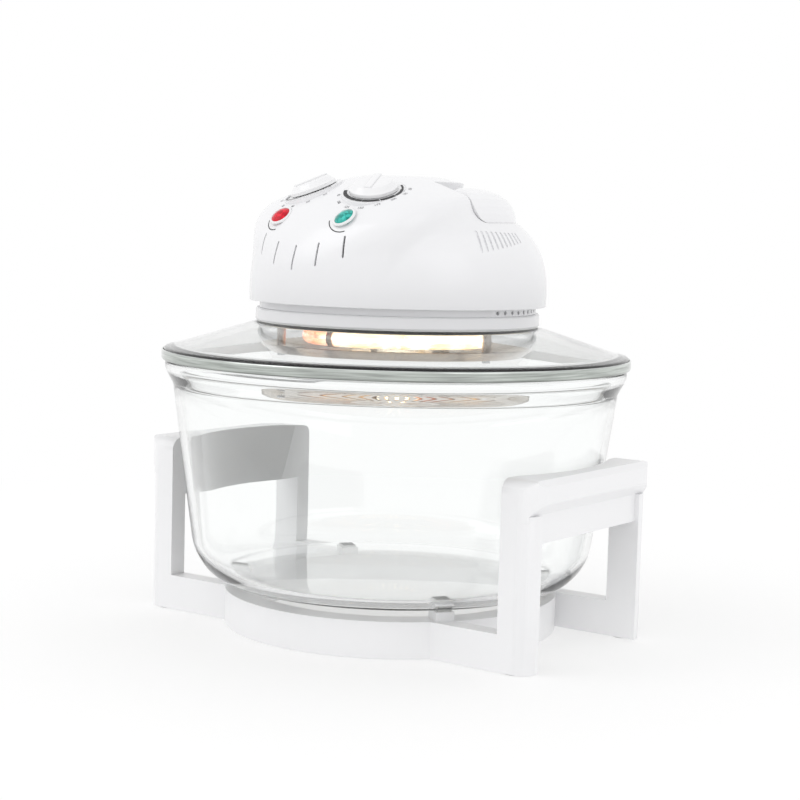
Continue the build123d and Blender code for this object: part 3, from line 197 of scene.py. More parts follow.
stand_mouldings = ("stand_base", "handle_frame_right", "handle_frame_left")
stand_white = plastic("stand white", (0.87, 0.87, 0.88), 0.30, None, flow=0.2, peel_size=420.0,
                      peel_depth=0.000008, coat=0.15, smeared=False)
dress(stand_white, *stand_mouldings)
softened(0.0004, *stand_mouldings)


# ---- Feet, bowl pads and stand screws ----
# Soft light rubber discs pressed into the legs, thinner pads of the same rubber on the four lugs, and
# plated self-tapping screws hidden above the feet.
def rubbery(name, colour, gloss, grain_size=1800.0):
    """Soft rubber, silicone or unglazed ceramic with a matt, grainy skin."""
    made, tree, surface = blank(name)
    skin = effect(tree, moulded_skin, Colour=(*colour, 1), Shade=(*[c * 0.85 for c in colour], 1),
                  Flow_marks=0.6, Gloss=gloss, Peel_size=grain_size)
    coloured(tree, surface, skin)
    surface.inputs["Sheen Weight"].default_value = 0.15
    relief(tree, surface, skin.outputs["Height"], 0.8, 0.00008, 0.0004)
    return made


metal_grain, into, out = effect_group(
    "Metal grain",
    [("Colour", COLOUR, (0.6, 0.6, 0.6, 1)), ("Stain", COLOUR, (0.5, 0.5, 0.5, 1)),
     ("Staining", VALUE, 0.3), ("Polish", VALUE, 0.25), ("Wander", VALUE, 0.08),
     ("Grain size", VALUE, 900.0)],
    [("Colour", COLOUR), ("Roughness", VALUE), ("Height", VALUE)])
place = place_on_piece(metal_grain)
patch = remapped(metal_grain, noise(metal_grain, place, 60.0, 4.0, 0.6), 0.4, 0.75, 0.0, 1.0)
stained = reckon(metal_grain, "MULTIPLY", patch, into.outputs["Staining"])
metal_grain.links.new(blended(metal_grain, stained, into.outputs["Colour"], into.outputs["Stain"]),
                      out.inputs["Colour"])
stretch = metal_grain.nodes.new("ShaderNodeMapping")
stretch.inputs["Scale"].default_value = (1.0, 1.0, 0.08)
metal_grain.links.new(place, stretch.inputs["Vector"])
grain = metal_grain.nodes.new("ShaderNodeTexNoise")
grain.inputs["Detail"].default_value = 2.0
metal_grain.links.new(stretch.outputs["Vector"], grain.inputs["Vector"])
metal_grain.links.new(into.outputs["Grain size"], grain.inputs["Scale"])
wander = reckon(metal_grain, "MULTIPLY", reckon(metal_grain, "SUBTRACT", grain.outputs["Fac"], 0.5),
                into.outputs["Wander"])
metal_grain.links.new(reckon(metal_grain, "ADD", into.outputs["Polish"], wander), out.inputs["Roughness"])
metal_grain.links.new(grain.outputs["Fac"], out.inputs["Height"])


def metal(name, colour, polish, stain, staining=0.3):
    """Pressed, drawn or plated metal with a fine upright grain and small stains."""
    made, tree, surface = blank(name)
    skin = effect(tree, metal_grain, Colour=(*colour, 1), Stain=(*stain, 1), Staining=staining,
                  Polish=polish, Wander=0.2, Grain_size=900.0)
    coloured(tree, surface, skin)
    surface.inputs["Metallic"].default_value = 1.0
    relief(tree, surface, skin.outputs["Height"], 0.4, 0.00001, 0.0002)
    return made


foot_rubber = rubbery("foot rubber", (0.62, 0.62, 0.61), 0.6)
dress(foot_rubber, "rubber_feet", "bowl_pads")
screw_plating = metal("screw plating", (0.62, 0.63, 0.65), 0.28, (0.45, 0.44, 0.42))
dress(screw_plating, "stand_screws", "cover_screws", "reflector_screws", "guard_screws", "control_screws",
      "bail_pins", "timer_spindle", "thermostat_spindle", "plunger_spring", "motor_shaft", "motor_screws")


# ---- Bowl ----
# Pressed and tempered clear glass, 5 mm thick, with a rolled lip. The press leaves the wall a little
# uneven, and the glass is very slightly green where one looks along it.
def curve_shares(t):
    """How much a smooth curve has at t of its start, its direction there, its end and that direction."""
    return 2 * t**3 - 3 * t**2 + 1, t**3 - 2 * t**2 + t, 3 * t**2 - 2 * t**3, t**3 - t**2


def swept(start, leave, end, arrive, steps):
    """Points on a smooth curve whose directions at both ends are given."""
    points = []
    for index in range(steps + 1):
        a, b, c, d = curve_shares(index / steps)
        points.append(tuple(a * start[k] + b * leave[k] + c * end[k] + d * arrive[k] for k in (0, 1)))
    return points


def straight(start, end, steps):
    """Points that divide a straight line into equal steps, without its start."""
    return [tuple(start[k] + (end[k] - start[k]) * step / steps for k in (0, 1))
            for step in range(1, steps + 1)]


def finished(work, name):
    mesh = bpy.data.meshes.new(name)
    bmesh.ops.recalc_face_normals(work, faces=work.faces)
    work.to_mesh(mesh)
    work.free()
    return mesh


def set_down(name, data):
    """A new object in the scene."""
    piece = bpy.data.objects.new(name, data)
    bpy.context.collection.objects.link(piece)
    return piece


def smoothed(mesh, crease):
    """Smooth faces, with edges left sharp where they turn by more than the crease in degrees."""
    for face in mesh.polygons:
        face.use_smooth = True
    mesh.set_sharp_from_angle(angle=math.radians(crease))


def turned(name, outline, body, replaced, material, turns=256, crease=35.0):
    """A ring or bowl spun from a closed outline of (radius, height) in millimetres."""
    work = bmesh.new()
    rings = []
    for turn in range(turns):
        angle = 2 * math.pi * turn / turns
        ring = []
        for index, (radius, height) in enumerate(outline):
            if radius == 0.0 and turn:
                ring.append(rings[0][index])
            else:
                ring.append(work.verts.new((radius * math.cos(angle) / 1000, radius * math.sin(angle) / 1000,
                                            height / 1000)))
        rings.append(ring)
    for turn in range(turns):
        here, there = rings[turn], rings[(turn + 1) % turns]
        for index in range(len(outline)):
            after = (index + 1) % len(outline)
            corners = [here[index], there[index], there[after], here[after]]
            corners = [c for k, c in enumerate(corners) if c not in corners[:k]]
            if len(corners) > 2:
                work.faces.new(corners)
    mesh = finished(work, name)
    smoothed(mesh, crease)
    mesh.materials.append(material)
    piece = set_down(name, mesh)
    if replaced:
        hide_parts(*replaced)
    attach(piece, body)


def clear_glass(name, colour, ripple):
    """Smooth glass that lets the lamps' light through to what is behind it."""
    made, tree, surface = blank(name)
    lit = tree.nodes.new("ShaderNodeBsdfTransparent")
    lit.inputs["Color"].default_value = (0.99, 0.995, 0.992, 1)
    rays = tree.nodes.new("ShaderNodeLightPath")
    through = tree.nodes.new("ShaderNodeMixShader")
    tree.links.new(rays.outputs["Is Shadow Ray"], through.inputs[0])
    tree.links.new(surface.outputs[0], through.inputs[1])
    tree.links.new(lit.outputs[0], through.inputs[2])
    tree.links.new(through.outputs[0], tree.nodes["Material Output"].inputs["Surface"])
    place = place_on_piece(tree)
    smear = noise(tree, place, 25.0, 4.0)
    tree.links.new(remapped(tree, smear, 0.5, 0.8, 0.0, 0.02), surface.inputs["Roughness"])
    surface.inputs["Base Color"].default_value = (*colour, 1)
    surface.inputs["Transmission Weight"].default_value = 1.0
    surface.inputs["IOR"].default_value = 1.47
    relief(tree, surface, noise(tree, place, 30.0, 1.0), 0.3, ripple)
    return made


bowl_glass = clear_glass("bowl glass", (0.988, 0.996, 0.993), 0.00002)
underside, bowl_floor, bend_height, neck_height = 33.0, 38.0, 62.0, 169.0
glass_wall = 5.0
bend_top, neck = (142.5, bend_height), (157.0, neck_height)
inner_bend_top, inner_neck = (bend_top[0] - glass_wall, bend_height), (neck[0] - glass_wall, neck_height)
lean = Vector((neck[0] - bend_top[0], neck[1] - bend_top[1])).normalized()
outer_bend = swept((116.0, underside), (40.0, 0.0), bend_top, tuple(lean * 40.0), 14)
inner_bend = swept((113.0, bowl_floor), (36.0, 0.0), inner_bend_top, tuple(lean * 36.0), 14)
outside = [(0.0, underside), (60.0, underside)] + outer_bend + straight(bend_top, neck, 8)
inside = [(0.0, bowl_floor), (60.0, bowl_floor)] + inner_bend + straight(inner_bend_top, inner_neck, 8)
flare = swept(neck, (1.0, 7.0), (162.4, 180.5), (1.0, 6.0), 8)[1:]
rolled_lip = [(162.9, 182.0), (163.0, 184.2), (162.8, 185.6), (162.0, 186.6), (160.8, 187.0), (154.6, 187.0),
              (153.4, 186.6), (152.7, 185.4), (152.3, 183.4), (152.1, 178.0)]
turned("bowl_glass_body", outside + flare + rolled_lip + inside[::-1],
       "bowl", ["glass_bowl"], bowl_glass, crease=50.0)


# ---- Lid glass ----
# A shallow cone of the same glass with a flat flange for the steel band and a flat shelf round the hole
# that the head is clamped through.
def eased(outline, radius, steps):
    """The outline's corners, each cut back and rounded by up to a radius."""
    points = []
    count = len(outline)
    for index in range(count):
        before, corner, after = (Vector(outline[(index + k) % count]) for k in (-1, 0, 1))
        reach = min(radius, (before - corner).length * 0.45, (after - corner).length * 0.45)
        first = corner + (before - corner).normalized() * reach
        last = corner + (after - corner).normalized() * reach
        for step in range(steps + 1):
            t = step / steps
            points.append(tuple((1 - t)**2 * first + 2 * t * (1 - t) * corner + t**2 * last))
    return points


lid_clear = clear_glass("lid glass", (0.986, 0.996, 0.992), 0.00003)
lid_outline = [(84.0, 215.0), (99.0, 215.0), (157.0, 197.0), (163.9, 195.6),
               (163.9, 192.0), (156.3, 192.0), (98.3, 210.0), (84.0, 210.0)]
turned("lid_cone", eased(lid_outline, 2.0, 5), "lid", ["lid_glass"], lid_clear, crease=60.0)


# ---- Rim band ----
# Polished stainless strip rolled round the flange, with its lower edge turned in to hold the seal. It is
# drawn, so fine lines run round it. Shade is painted into its colour: dark in the fold at its foot, lighter
# towards its upper edge.
turned_brushing, into, out = effect_group(
    "Turned brushing",
    [("Colour", COLOUR, (0.7, 0.7, 0.7, 1)), ("Tarnish", COLOUR, (0.5, 0.5, 0.48, 1)),
     ("Tarnishing", VALUE, 0.2), ("Polish", VALUE, 0.1), ("Brushing", VALUE, 0.1)],
    [("Colour", COLOUR), ("Roughness", VALUE), ("Height", VALUE)])
place = place_on_piece(turned_brushing)
parts = turned_brushing.nodes.new("ShaderNodeSeparateXYZ")
turned_brushing.links.new(place, parts.inputs[0])
square_x = reckon(turned_brushing, "MULTIPLY", parts.outputs["X"], parts.outputs["X"])
square_y = reckon(turned_brushing, "MULTIPLY", parts.outputs["Y"], parts.outputs["Y"])
across = reckon(turned_brushing, "SQRT", reckon(turned_brushing, "ADD", square_x, square_y))
rings = turned_brushing.nodes.new("ShaderNodeCombineXYZ")
turned_brushing.links.new(across, rings.inputs[0])
turned_brushing.links.new(parts.outputs["Z"], rings.inputs[1])
turned_brushing.links.new(reckon(turned_brushing, "MULTIPLY", parts.outputs["X"], 0.004), rings.inputs[2])
lines = noise(turned_brushing, rings.outputs[0], 2600.0, 2.0)
blotch = remapped(turned_brushing, noise(turned_brushing, place, 22.0, 4.0, 0.6), 0.4, 0.75, 0.0, 1.0)
tarnished = reckon(turned_brushing, "MULTIPLY", blotch, into.outputs["Tarnishing"])
steel = blended(turned_brushing, tarnished, into.outputs["Colour"], into.outputs["Tarnish"])
turned_brushing.links.new(steel, out.inputs["Colour"])
scratched = reckon(turned_brushing, "MULTIPLY", lines, into.outputs["Brushing"])
turned_brushing.links.new(reckon(turned_brushing, "ADD", into.outputs["Polish"], scratched),
                          out.inputs["Roughness"])
turned_brushing.links.new(lines, out.inputs["Height"])


def turned_metal(name, colour, tarnish, tarnishing, polish, brushing):
    """Metal spun or rolled round the lid's middle, with fine lines that run round it."""
    made, tree, surface = blank(name)
    skin = effect(tree, turned_brushing, Colour=(*colour, 1), Tarnish=(*tarnish, 1), Tarnishing=tarnishing,
                  Polish=polish, Brushing=brushing)
    coloured(tree, surface, skin)
    surface.inputs["Metallic"].default_value = 1.0
    relief(tree, surface, skin.outputs["Height"], 0.3, 0.000004)
    return made


band_steel = turned_metal("band steel", (0.62, 0.64, 0.63), (0.46, 0.49, 0.46), 0.3, 0.06, 0.10)
band_foot, band_head = 187.4, 194.3
tree = band_steel.node_tree
surface = tree.nodes["Principled BSDF"]
parts = tree.nodes.new("ShaderNodeSeparateXYZ")
tree.links.new(place_on_piece(tree), parts.inputs[0])
# Painted shade: the colour darkens towards the band's rolled-under foot and lightens towards its upper edge.
painted_shade_by_height = tree.nodes.new("ShaderNodeValToRGB")
tree.links.new(remapped(tree, parts.outputs["Z"], band_foot / 1000, band_head / 1000, 0.0, 1.0),
               painted_shade_by_height.inputs[0])
for share, shade in ((0.0, 0.22), (0.10, 0.60), (0.20, 0.84), (0.65, 0.80), (0.88, 1.0)):
    ramp = painted_shade_by_height.color_ramp
    stop = ramp.elements[0] if share == 0.0 else ramp.elements.new(share)
    stop.position = share
    stop.color = (shade * 0.97, shade, shade * 0.96, 1)
drawn_out = tree.nodes.new("ShaderNodeCombineXYZ")
for axis, scale in (("X", 26.0), ("Y", 26.0), ("Z", 900.0)):
    tree.links.new(reckon(tree, "MULTIPLY", parts.outputs[axis], scale), drawn_out.inputs[axis])
drawn_lines = remapped(tree, noise(tree, drawn_out.outputs[0], 1.0, 3.0), 0.3, 0.7, 0.68, 1.2)
brushed = surface.inputs["Base Color"].links[0].from_socket
# The painted shade is multiplied with the drawn lines, then with the steel's own colour.
painted_shade_and_lines = blended(tree, 1.0, painted_shade_by_height.outputs[0], drawn_lines, "MULTIPLY")
tree.links.new(blended(tree, 1.0, painted_shade_and_lines, brushed, "MULTIPLY"), surface.inputs["Base Color"])
turned("steel_band", [(164.3, 194.0), (164.6, 194.3), (165.0, 194.25), (165.35, 193.9), (165.5, 193.3),
                      (165.5, 188.6), (165.35, 187.9), (164.9, 187.45), (164.2, 187.4), (161.3, 187.4),
                      (161.3, 188.4), (163.9, 188.4), (164.3, 188.8)],
       "lid", ["lid_band"], band_steel, crease=40.0)


# ---- Seal and gasket ----
# Pale silicone mouldings: a ring between the flange and the bowl's lip, and a thin flat one that
# keeps the collar off the glass.
silicone = rubbery("silicone", (0.78, 0.79, 0.78), 0.35, 1200.0)
dress(silicone, "lid_seal", "lid_gasket")


# ---- Collar and vent ring ----
# White mouldings that the head stands on. The upper one is set back and has a row of round air outlets
# round its rear half, with a dark strip behind them: painted shadow for the dark inside of the head.
head_white = plastic("head white", (0.845, 0.845, 0.86), 0.22, 0.0004, flow=0.25, peel_size=420.0, coat=0.2)
dress(head_white, "collar_ring", "vent_ring")
# A dark sheet behind the outlets, a painted shadow that makes them read dark inside.
outlet_shadow_paint = plastic("outlet shadow paint", (0.02, 0.02, 0.022), 0.6, 0.0002, flow=0.5, peel_size=1500.0,
                peel_depth=0.0002)
turned("outlet_shadow_strip", [(93.2, 224.8), (93.45, 224.8), (93.45, 229.3), (93.2, 229.3)],
       "lid", [], outlet_shadow_paint, turns=96)


# ---- Head cover ----
# White moulded shell: a round dome that runs softly into the raised control panel, cut down at the back
# to seat the bail. Five air slits are cut through at the front and a fan of blind ones at each side.
# Sizes are in millimetres. The points of the two outlines are (height above the cover's foot, radius).
head_turn = Matrix.Rotation(math.radians(-7.7), 4, "Z")
cover_foot = 229.5
bail_seat = cover_foot + 57.5
pivot_height = bail_seat + 12.0
core_height = 10.0
foot_radius, cover_height = 104.5, 87.3
dome_line = [(0.0, foot_radius), (20.0, 104.2), (32.5, 101.5), (40.5, 98.0), (48.5, 92.5), (54.5, 86.5),
             (59.5, 80.5), (69.5, 66.0), (77.5, 51.0), (81.0, 42.5), (84.0, 32.0), (86.47, 16.0),
             (cover_height, 0.0)]
panel_line = [(0.0, 104.2), (32.5, 103.0), (48.5, 102.2), (54.5, 101.5), (59.5, 99.3), (64.5, 95.1),
              (69.5, 88.1), (73.5, 79.0), (77.5, 65.0), (81.0, 50.0), (84.0, 35.0), (86.52, 17.0),
              (cover_height, 0.0)]


def reach_at(line, elevation):
    """Distance from the middle of the head to its skin, smoothly through the points of a line."""
    polar = [(math.atan2(height - core_height, radius), math.hypot(radius, height - core_height))
             for height, radius in line]
    last = len(polar) - 1
    slopes = []
    for index in range(last + 1):
        before, after = polar[max(index - 1, 0)], polar[min(index + 1, last)]
        slopes.append((after[1] - before[1]) / (after[0] - before[0]))
    slopes[last] = 0.0
    angle = min(max(elevation, polar[0][0]), polar[last][0])
    index = next(k for k in range(last) if angle <= polar[k + 1][0] or k == last - 1)
    width = polar[index + 1][0] - polar[index][0]
    a, b, c, d = curve_shares((angle - polar[index][0]) / width)
    return (a * polar[index][1] + b * width * slopes[index]
            + c * polar[index + 1][1] + d * width * slopes[index + 1])


def softly_larger(first, second, width):
    """The larger of two distances, with the change from one to the other rounded over a width."""
    if width < 0.01:
        return max(first, second)
    share = max(width - abs(first - second), 0.0) / width
    return max(first, second) + share * share * width / 4


def eased_step(value, low, high):
    """Nothing below low, one above high, and a soft change between them."""
    t = min(max((value - low) / (high - low), 0.0), 1.0)
    return t * t * (3 - 2 * t)


# The panel's wall is part of a circle of its own, ahead of the head's middle. Its slope carries the lamps.
panel_forward, panel_round = 35.0, 80.0
lamp_out, lamp_up, lamp_side = 85.6, 58.6, 30.6
slope_tilt = math.radians(43.0)
slope_proud = 1.2
slope_reach = lamp_out * math.sin(slope_tilt) + (lamp_up - core_height) * math.cos(slope_tilt) + slope_proud
blend_width, slope_edge = 13.0, 18.0


def skin_point(bearing, elevation):
    """A point on the closed outer skin; bearings run from the head's right-hand side."""
    softness = blend_width * eased_step(elevation, 0.25, 0.6) * (1.0 - eased_step(elevation, 1.2, 1.5))
    ahead = -panel_forward * math.sin(bearing)
    side_wall = ahead + math.sqrt(ahead**2 + panel_round**2 - panel_forward**2)
    side_wall /= max(math.cos(elevation), 0.05)
    panel = -softly_larger(-reach_at(panel_line, elevation), -side_wall, softness * 0.7)
    facing = (-math.sin(bearing) * math.cos(elevation) * math.sin(slope_tilt)
              + math.sin(elevation) * math.cos(slope_tilt))
    if facing > 0.1:
        panel = -softly_larger(-panel, -slope_reach / facing, slope_edge)
    reach = softly_larger(reach_at(dome_line, elevation), panel, softness)
    flat = reach * math.cos(elevation)
    return Vector((flat * math.cos(bearing), flat * math.sin(bearing),
                   cover_foot + core_height + reach * math.sin(elevation))) / 1000


def stitched(work, rings):
    """Faces from each ring of corners to the next."""
    count = len(rings[0])
    for low, high in zip(rings, rings[1:]):
        for index in range(count):
            after = (index + 1) % count
            work.faces.new((low[index], low[after], high[after], high[index]))


def prism(work, loops):
    """A closed body through equal loops of points in millimetres."""
    rings = [[work.verts.new(Vector(point) / 1000) for point in loop] for loop in loops]
    stitched(work, rings)
    work.faces.new(rings[0][::-1])
    work.faces.new(rings[-1])


def round_loop(plane, radius, height, steps=64):
    """A circle of points over a plane."""
    angles = [2 * math.pi * step / steps for step in range(steps)]
    return [plane @ Vector((radius * math.cos(angle), radius * math.sin(angle), height)) for angle in angles]


def settled(piece):
    """The piece's mesh with its modifiers worked in."""
    graph = bpy.context.evaluated_depsgraph_get()
    piece.data = bpy.data.meshes.new_from_object(piece.evaluated_get(graph))
    piece.modifiers.clear()


def carved(piece, operation, tool_mesh):
    """Joins a body to the piece or cuts it away."""
    tool = set_down("tool", tool_mesh)
    change = piece.modifiers.new("carve", "BOOLEAN")
    change.operation = operation
    change.solver = "EXACT"
    change.object = tool
    settled(piece)
    bpy.data.objects.remove(tool)


def tilted(outward_x, outward_y, reach, height, tilt):
    """Plane of a flat that faces out and up: X across, Y up the slope, Z out of the cover."""
    outward = Vector((outward_x, outward_y, 0.0)).normalized()
    normal = outward * math.sin(tilt) + Vector((0.0, 0.0, 1.0)) * math.cos(tilt)
    across = Vector((0.0, 0.0, 1.0)).cross(outward)
    upward = normal.cross(across)
    plane = Matrix((across, upward, normal)).transposed().to_4x4()
    plane.translation = outward * reach + Vector((0.0, 0.0, cover_foot + height))
    return plane


dial_side, dial_front, dial_up, dial_tilt = 28.7, 56.6, 76.5, math.radians(22.5)
dial_planes = [tilted(side * dial_side, -dial_front, math.hypot(dial_side, dial_front), dial_up, dial_tilt)
               for side in (-1, 1)]
slope_plane = tilted(0.0, -1.0, lamp_out, lamp_up, slope_tilt)
lamp_planes = [Matrix.Translation((side * lamp_side, 0.0, 0.0)) @ slope_plane for side in (-1, 1)]
upright = Matrix.Identity(4)

columns, levels = 200, 68
foot_angle = math.atan2(-core_height, foot_radius)
work = bmesh.new()
rings = []
for level in range(levels):
    elevation = foot_angle + (math.pi / 2 - foot_angle) * (level / levels)
    ring = []
    for column in range(columns):
        point = skin_point(2 * math.pi * column / columns, elevation)
        if level == 0:
            point.z = cover_foot / 1000
        ring.append(work.verts.new(point))
    rings.append(ring)
top = work.verts.new((0.0, 0.0, (cover_foot + cover_height) / 1000))
stitched(work, rings)
for index in range(columns):
    work.faces.new((rings[-1][index], rings[-1][(index + 1) % columns], top))
work.faces.new(rings[0][::-1])
cover = set_down("head_cover_shell", finished(work, "head_cover_shell"))

# The dials' round pads are added before the bail's seat is cut, and their flats after it.
pad_radius = 22.0
work = bmesh.new()
for plane in dial_planes:
    prism(work, [round_loop(plane, pad_radius, -9.0), round_loop(plane, pad_radius, 0.0)])
carved(cover, "UNION", finished(work, "dial pads"))

# The bail's seat: everything above it goes, from a hollow round the bail's ends to the back of the head,
# apart from a round crown inside the bail. The hollow starts a hair above the seat, for a clean cut.
hollow_radius, crown_radius, hair = 12.3, 44.0, 0.02
clear_of_head, clear_above = 130.0, 60.0
seat_line = [(clear_of_head, bail_seat), (0.0, bail_seat)]
for step in range(1, 13):
    angle = math.radians(90.0 * step / 12)
    height = max(bail_seat, pivot_height - hollow_radius * math.cos(angle))
    if step < 3:
        height += hair
    seat_line.append((-hollow_radius * math.sin(angle), height))
seat_line += [(-hollow_radius, bail_seat + clear_above), (clear_of_head, bail_seat + clear_above)]
work = bmesh.new()
prism(work, [[(x, y, z) for y, z in seat_line] for x in (-clear_of_head, clear_of_head)])
room = set_down("room", finished(work, "room"))
work = bmesh.new()
prism(work, [round_loop(upright, crown_radius, bail_seat + height, 160) for height in (-5.0, 70.0)])
carved(room, "DIFFERENCE", finished(work, "crown"))
bail_room = room.data
bpy.data.objects.remove(room)
carved(cover, "DIFFERENCE", bail_room)

work = bmesh.new()
for plane in dial_planes:
    prism(work, [round_loop(plane, pad_radius, 0.0), round_loop(plane, pad_radius, 14.0)])
carved(cover, "DIFFERENCE", finished(work, "dial flats"))

# The closing face underneath comes out, and the skin gets its wall.
near_foot = (cover_foot + 0.5) / 1000
work = bmesh.new()
work.from_mesh(cover.data)
under = [face for face in work.faces if face.normal.z < -0.9 and face.calc_center_median().z < near_foot]
bmesh.ops.delete(work, geom=under, context="FACES")
work.to_mesh(cover.data)
work.free()
shell = cover.modifiers.new("wall", "SOLIDIFY")
shell.thickness = 0.0022
shell.offset = -1.0
shell.use_even_offset = False
settled(cover)


def slot_outline(half_width, half_length, tips):
    """A slot's outline as (across, along), its corners cut back to the tips at each end."""
    shoulder = half_length - half_width
    half = [(-half_width, -shoulder)] + [(tip, -half_length) for tip in tips] + [(half_width, -shoulder)]
    return half + [(-across, -along) for across, along in half]


# Stepped holes for the lamps, the five slits at the front, and the blind ones at the sides, which lean
# forward and get shorter towards the back.
lamp_hole, bezel_seat = 5.8, 8.7
work = bmesh.new()
for plane in lamp_planes:
    prism(work, [round_loop(plane, lamp_hole, -9.0), round_loop(plane, lamp_hole, 0.0),
                 round_loop(plane, bezel_seat, 0.0), round_loop(plane, bezel_seat, 8.0)])
slit_height, slit_rises, slit_pitch = 31.3, (0.0, 2.7, 8.2), 11.2
for index in (-2, -1, 0, 1, 2):
    middle = cover_foot + slit_height + slit_rises[abs(index)]
    turn = Matrix.Rotation(math.radians(slit_pitch * index), 4, "Z")
    outline = slot_outline(0.7, (16.5 - abs(index)) / 2, (-0.35, 0.35))
    prism(work, [[turn @ Vector((across, depth, middle + along)) for across, along in outline]
                 for depth in (-112.0, -88.0)])
fan_start, fan_pitch, fan_height, fan_rise, fan_lean = 77.5, 2.9, 45.5, 0.35, 0.09
wall_reach = reach_at(dome_line, 0.39) * 0.94
for index in range(10):
    for side in (-1, 1):
        bearing = math.radians(side * (fan_start + fan_pitch * index) - 90.0)
        elevation = math.atan2(fan_height + fan_rise * index - core_height, wall_reach)
        foot, middle, crest = (skin_point(bearing, elevation + shift) * 1000 for shift in (-0.02, 0.0, 0.02))
        upward = (crest - foot).normalized()
        outward = Vector((math.cos(bearing), math.sin(bearing), 0.0))
        across = outward.cross(upward).normalized()
        normal = upward.cross(across).normalized()
        if normal.dot(outward) < 0:
            normal = -normal
        leaning = (upward + across * fan_lean * -side).normalized()
        sideways = leaning.cross(normal).normalized()
        outline = slot_outline(0.8, (18.0 - index) / 2, (0.0,))
        prism(work, [[middle + normal * depth + sideways * x + leaning * z for x, z in outline]
                     for depth in (-1.1, 2.5)])
carved(cover, "DIFFERENCE", finished(work, "slits and lamp holes"))

# Two ears carry the bail's pins.
ear_radius, ear_foot = 6.5, bail_seat - 1.0
ear_line = [(-ear_radius, ear_foot)]
for step in range(25):
    angle = math.pi - math.pi * step / 24
    ear_line.append((ear_radius * math.cos(angle), pivot_height + ear_radius * math.sin(angle)))
ear_line.append((ear_radius, ear_foot))
work = bmesh.new()
work.from_mesh(cover.data)
for side in (-1, 1):
    prism(work, [[(side * x, y, z) for y, z in ear_line] for x in (50.3, 55.3)])
bmesh.ops.recalc_face_normals(work, faces=work.faces)
work.to_mesh(cover.data)
work.free()
cover.data.transform(head_turn)
smoothed(cover.data, 28.0)
cover.data.materials.clear()
cover.data.materials.append(head_white)
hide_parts("head_cover")
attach(cover, "lid")


# ---- Bail handle ----
# White moulded half ring that lies in the back of the dome. It turns on two steel pins, which are pushed
# through its ends into the cover's ears.
bail_white = plastic("bail white", (0.85, 0.85, 0.865), 0.22, 0.0009, flow=0.25, peel_size=420.0, coat=0.25)
dress(bail_white, "bail_handle")


# ---- Dials ----
# Thin white discs glued on the panel's flats. Each has a printed arc round its lower side, the timer's
# with ticks, and plain numbers are printed beside it on the cover.
dial_white = plastic("dial white", (0.86, 0.86, 0.87), 0.3, 0.0002, flow=0.2)
dress(dial_white, "timer_dial", "thermostat_dial")

printed, into, out = effect_group(
    "Printed ink",
    [("Ink", COLOUR, (0.05, 0.05, 0.055, 1)), ("Thin ink", COLOUR, (0.12, 0.12, 0.13, 1)),
     ("Wear", VALUE, 0.4)],
    [("Colour", COLOUR), ("Roughness", VALUE), ("Height", VALUE)])
place = place_on_piece(printed)
thinned = remapped(printed, noise(printed, place, 900.0, 3.0), 0.45, 0.7, 0.0, 1.0)
worn = reckon(printed, "MULTIPLY", thinned, into.outputs["Wear"])
printed.links.new(blended(printed, worn, into.outputs["Ink"], into.outputs["Thin ink"]),
                  out.inputs["Colour"])
screen = noise(printed, place, 2600.0, 1.0)
printed.links.new(remapped(printed, screen, 0.3, 0.7, 0.35, 0.55), out.inputs["Roughness"])
printed.links.new(screen, out.inputs["Height"])


def ink(name, colour, thin):
    made, tree, surface = blank(name)
    skin = effect(tree, printed, Ink=(*colour, 1), Thin_ink=(*thin, 1), Wear=0.5)
    coloured(tree, surface, skin)
    relief(tree, surface, skin.outputs["Height"], 0.4, 0.00001)
    return made


black_ink = ink("black print", (0.012, 0.012, 0.014), (0.05, 0.05, 0.055))
grey_ink = ink("grey print", (0.13, 0.13, 0.14), (0.26, 0.26, 0.27))
skin_tree = BVHTree.FromPolygons([vertex.co for vertex in cover.data.vertices],
                                 [face.vertices for face in cover.data.polygons])


def arc_strip(work, plane, middle, half_width, first, last, lift):
    """Thin printed band along part of a circle on a plane, in millimetres and degrees."""
    steps = max(2, int(abs(last - first) / 3.0))
    edges = []
    for step in range(steps + 1):
        angle = math.radians(first + (last - first) * step / steps)
        pair = []
        for radius in (middle - half_width, middle + half_width):
            spot = plane @ Vector((radius * math.cos(angle), radius * math.sin(angle), lift))
            pair.append(work.verts.new(spot / 1000))
        edges.append(pair)
    for here, there in zip(edges, edges[1:]):
        work.faces.new((here[0], here[1], there[1], there[0]))


def printed_piece(work, name, material):
    mesh = finished(work, name)
    mesh.materials.append(material)
    piece = set_down(name, mesh)
    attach(piece, "lid")


def laid_on_cover(work, plane):
    """Drops the print on the cover, square to the plane."""
    down = (plane.to_3x3() @ Vector((0.0, 0.0, -1.0))).normalized()
    for vertex in work.verts:
        found = skin_tree.ray_cast(vertex.co - down * 0.012, down)
        if found[0] is not None:
            vertex.co = found[0] - down * 0.00012


def figure(work, plane, text, radius, angle, size):
    """One plain number, upright to the dial's radius at its lower side."""
    curve = bpy.data.curves.new("figure", "FONT")
    curve.body = text
    curve.size = size
    curve.align_x = "CENTER"
    curve.align_y = "CENTER"
    written = set_down("figure", curve)
    graph = bpy.context.evaluated_depsgraph_get()
    graph.update()
    flat = bpy.data.meshes.new_from_object(written.evaluated_get(graph))
    bpy.data.objects.remove(written)
    turn = Matrix.Rotation(math.radians(angle + 90.0), 4, "Z")
    middle = Vector((radius * math.cos(math.radians(angle)), radius * math.sin(math.radians(angle)), 0.0))
    start = len(work.verts)
    work.from_mesh(flat)
    work.verts.ensure_lookup_table()
    for vertex in work.verts[start:]:
        vertex.co = plane @ (middle + turn @ vertex.co) / 1000
    bpy.data.meshes.remove(flat)


timer_plane, thermostat_plane = [head_turn @ plane for plane in dial_planes]
dial_face = 0.96
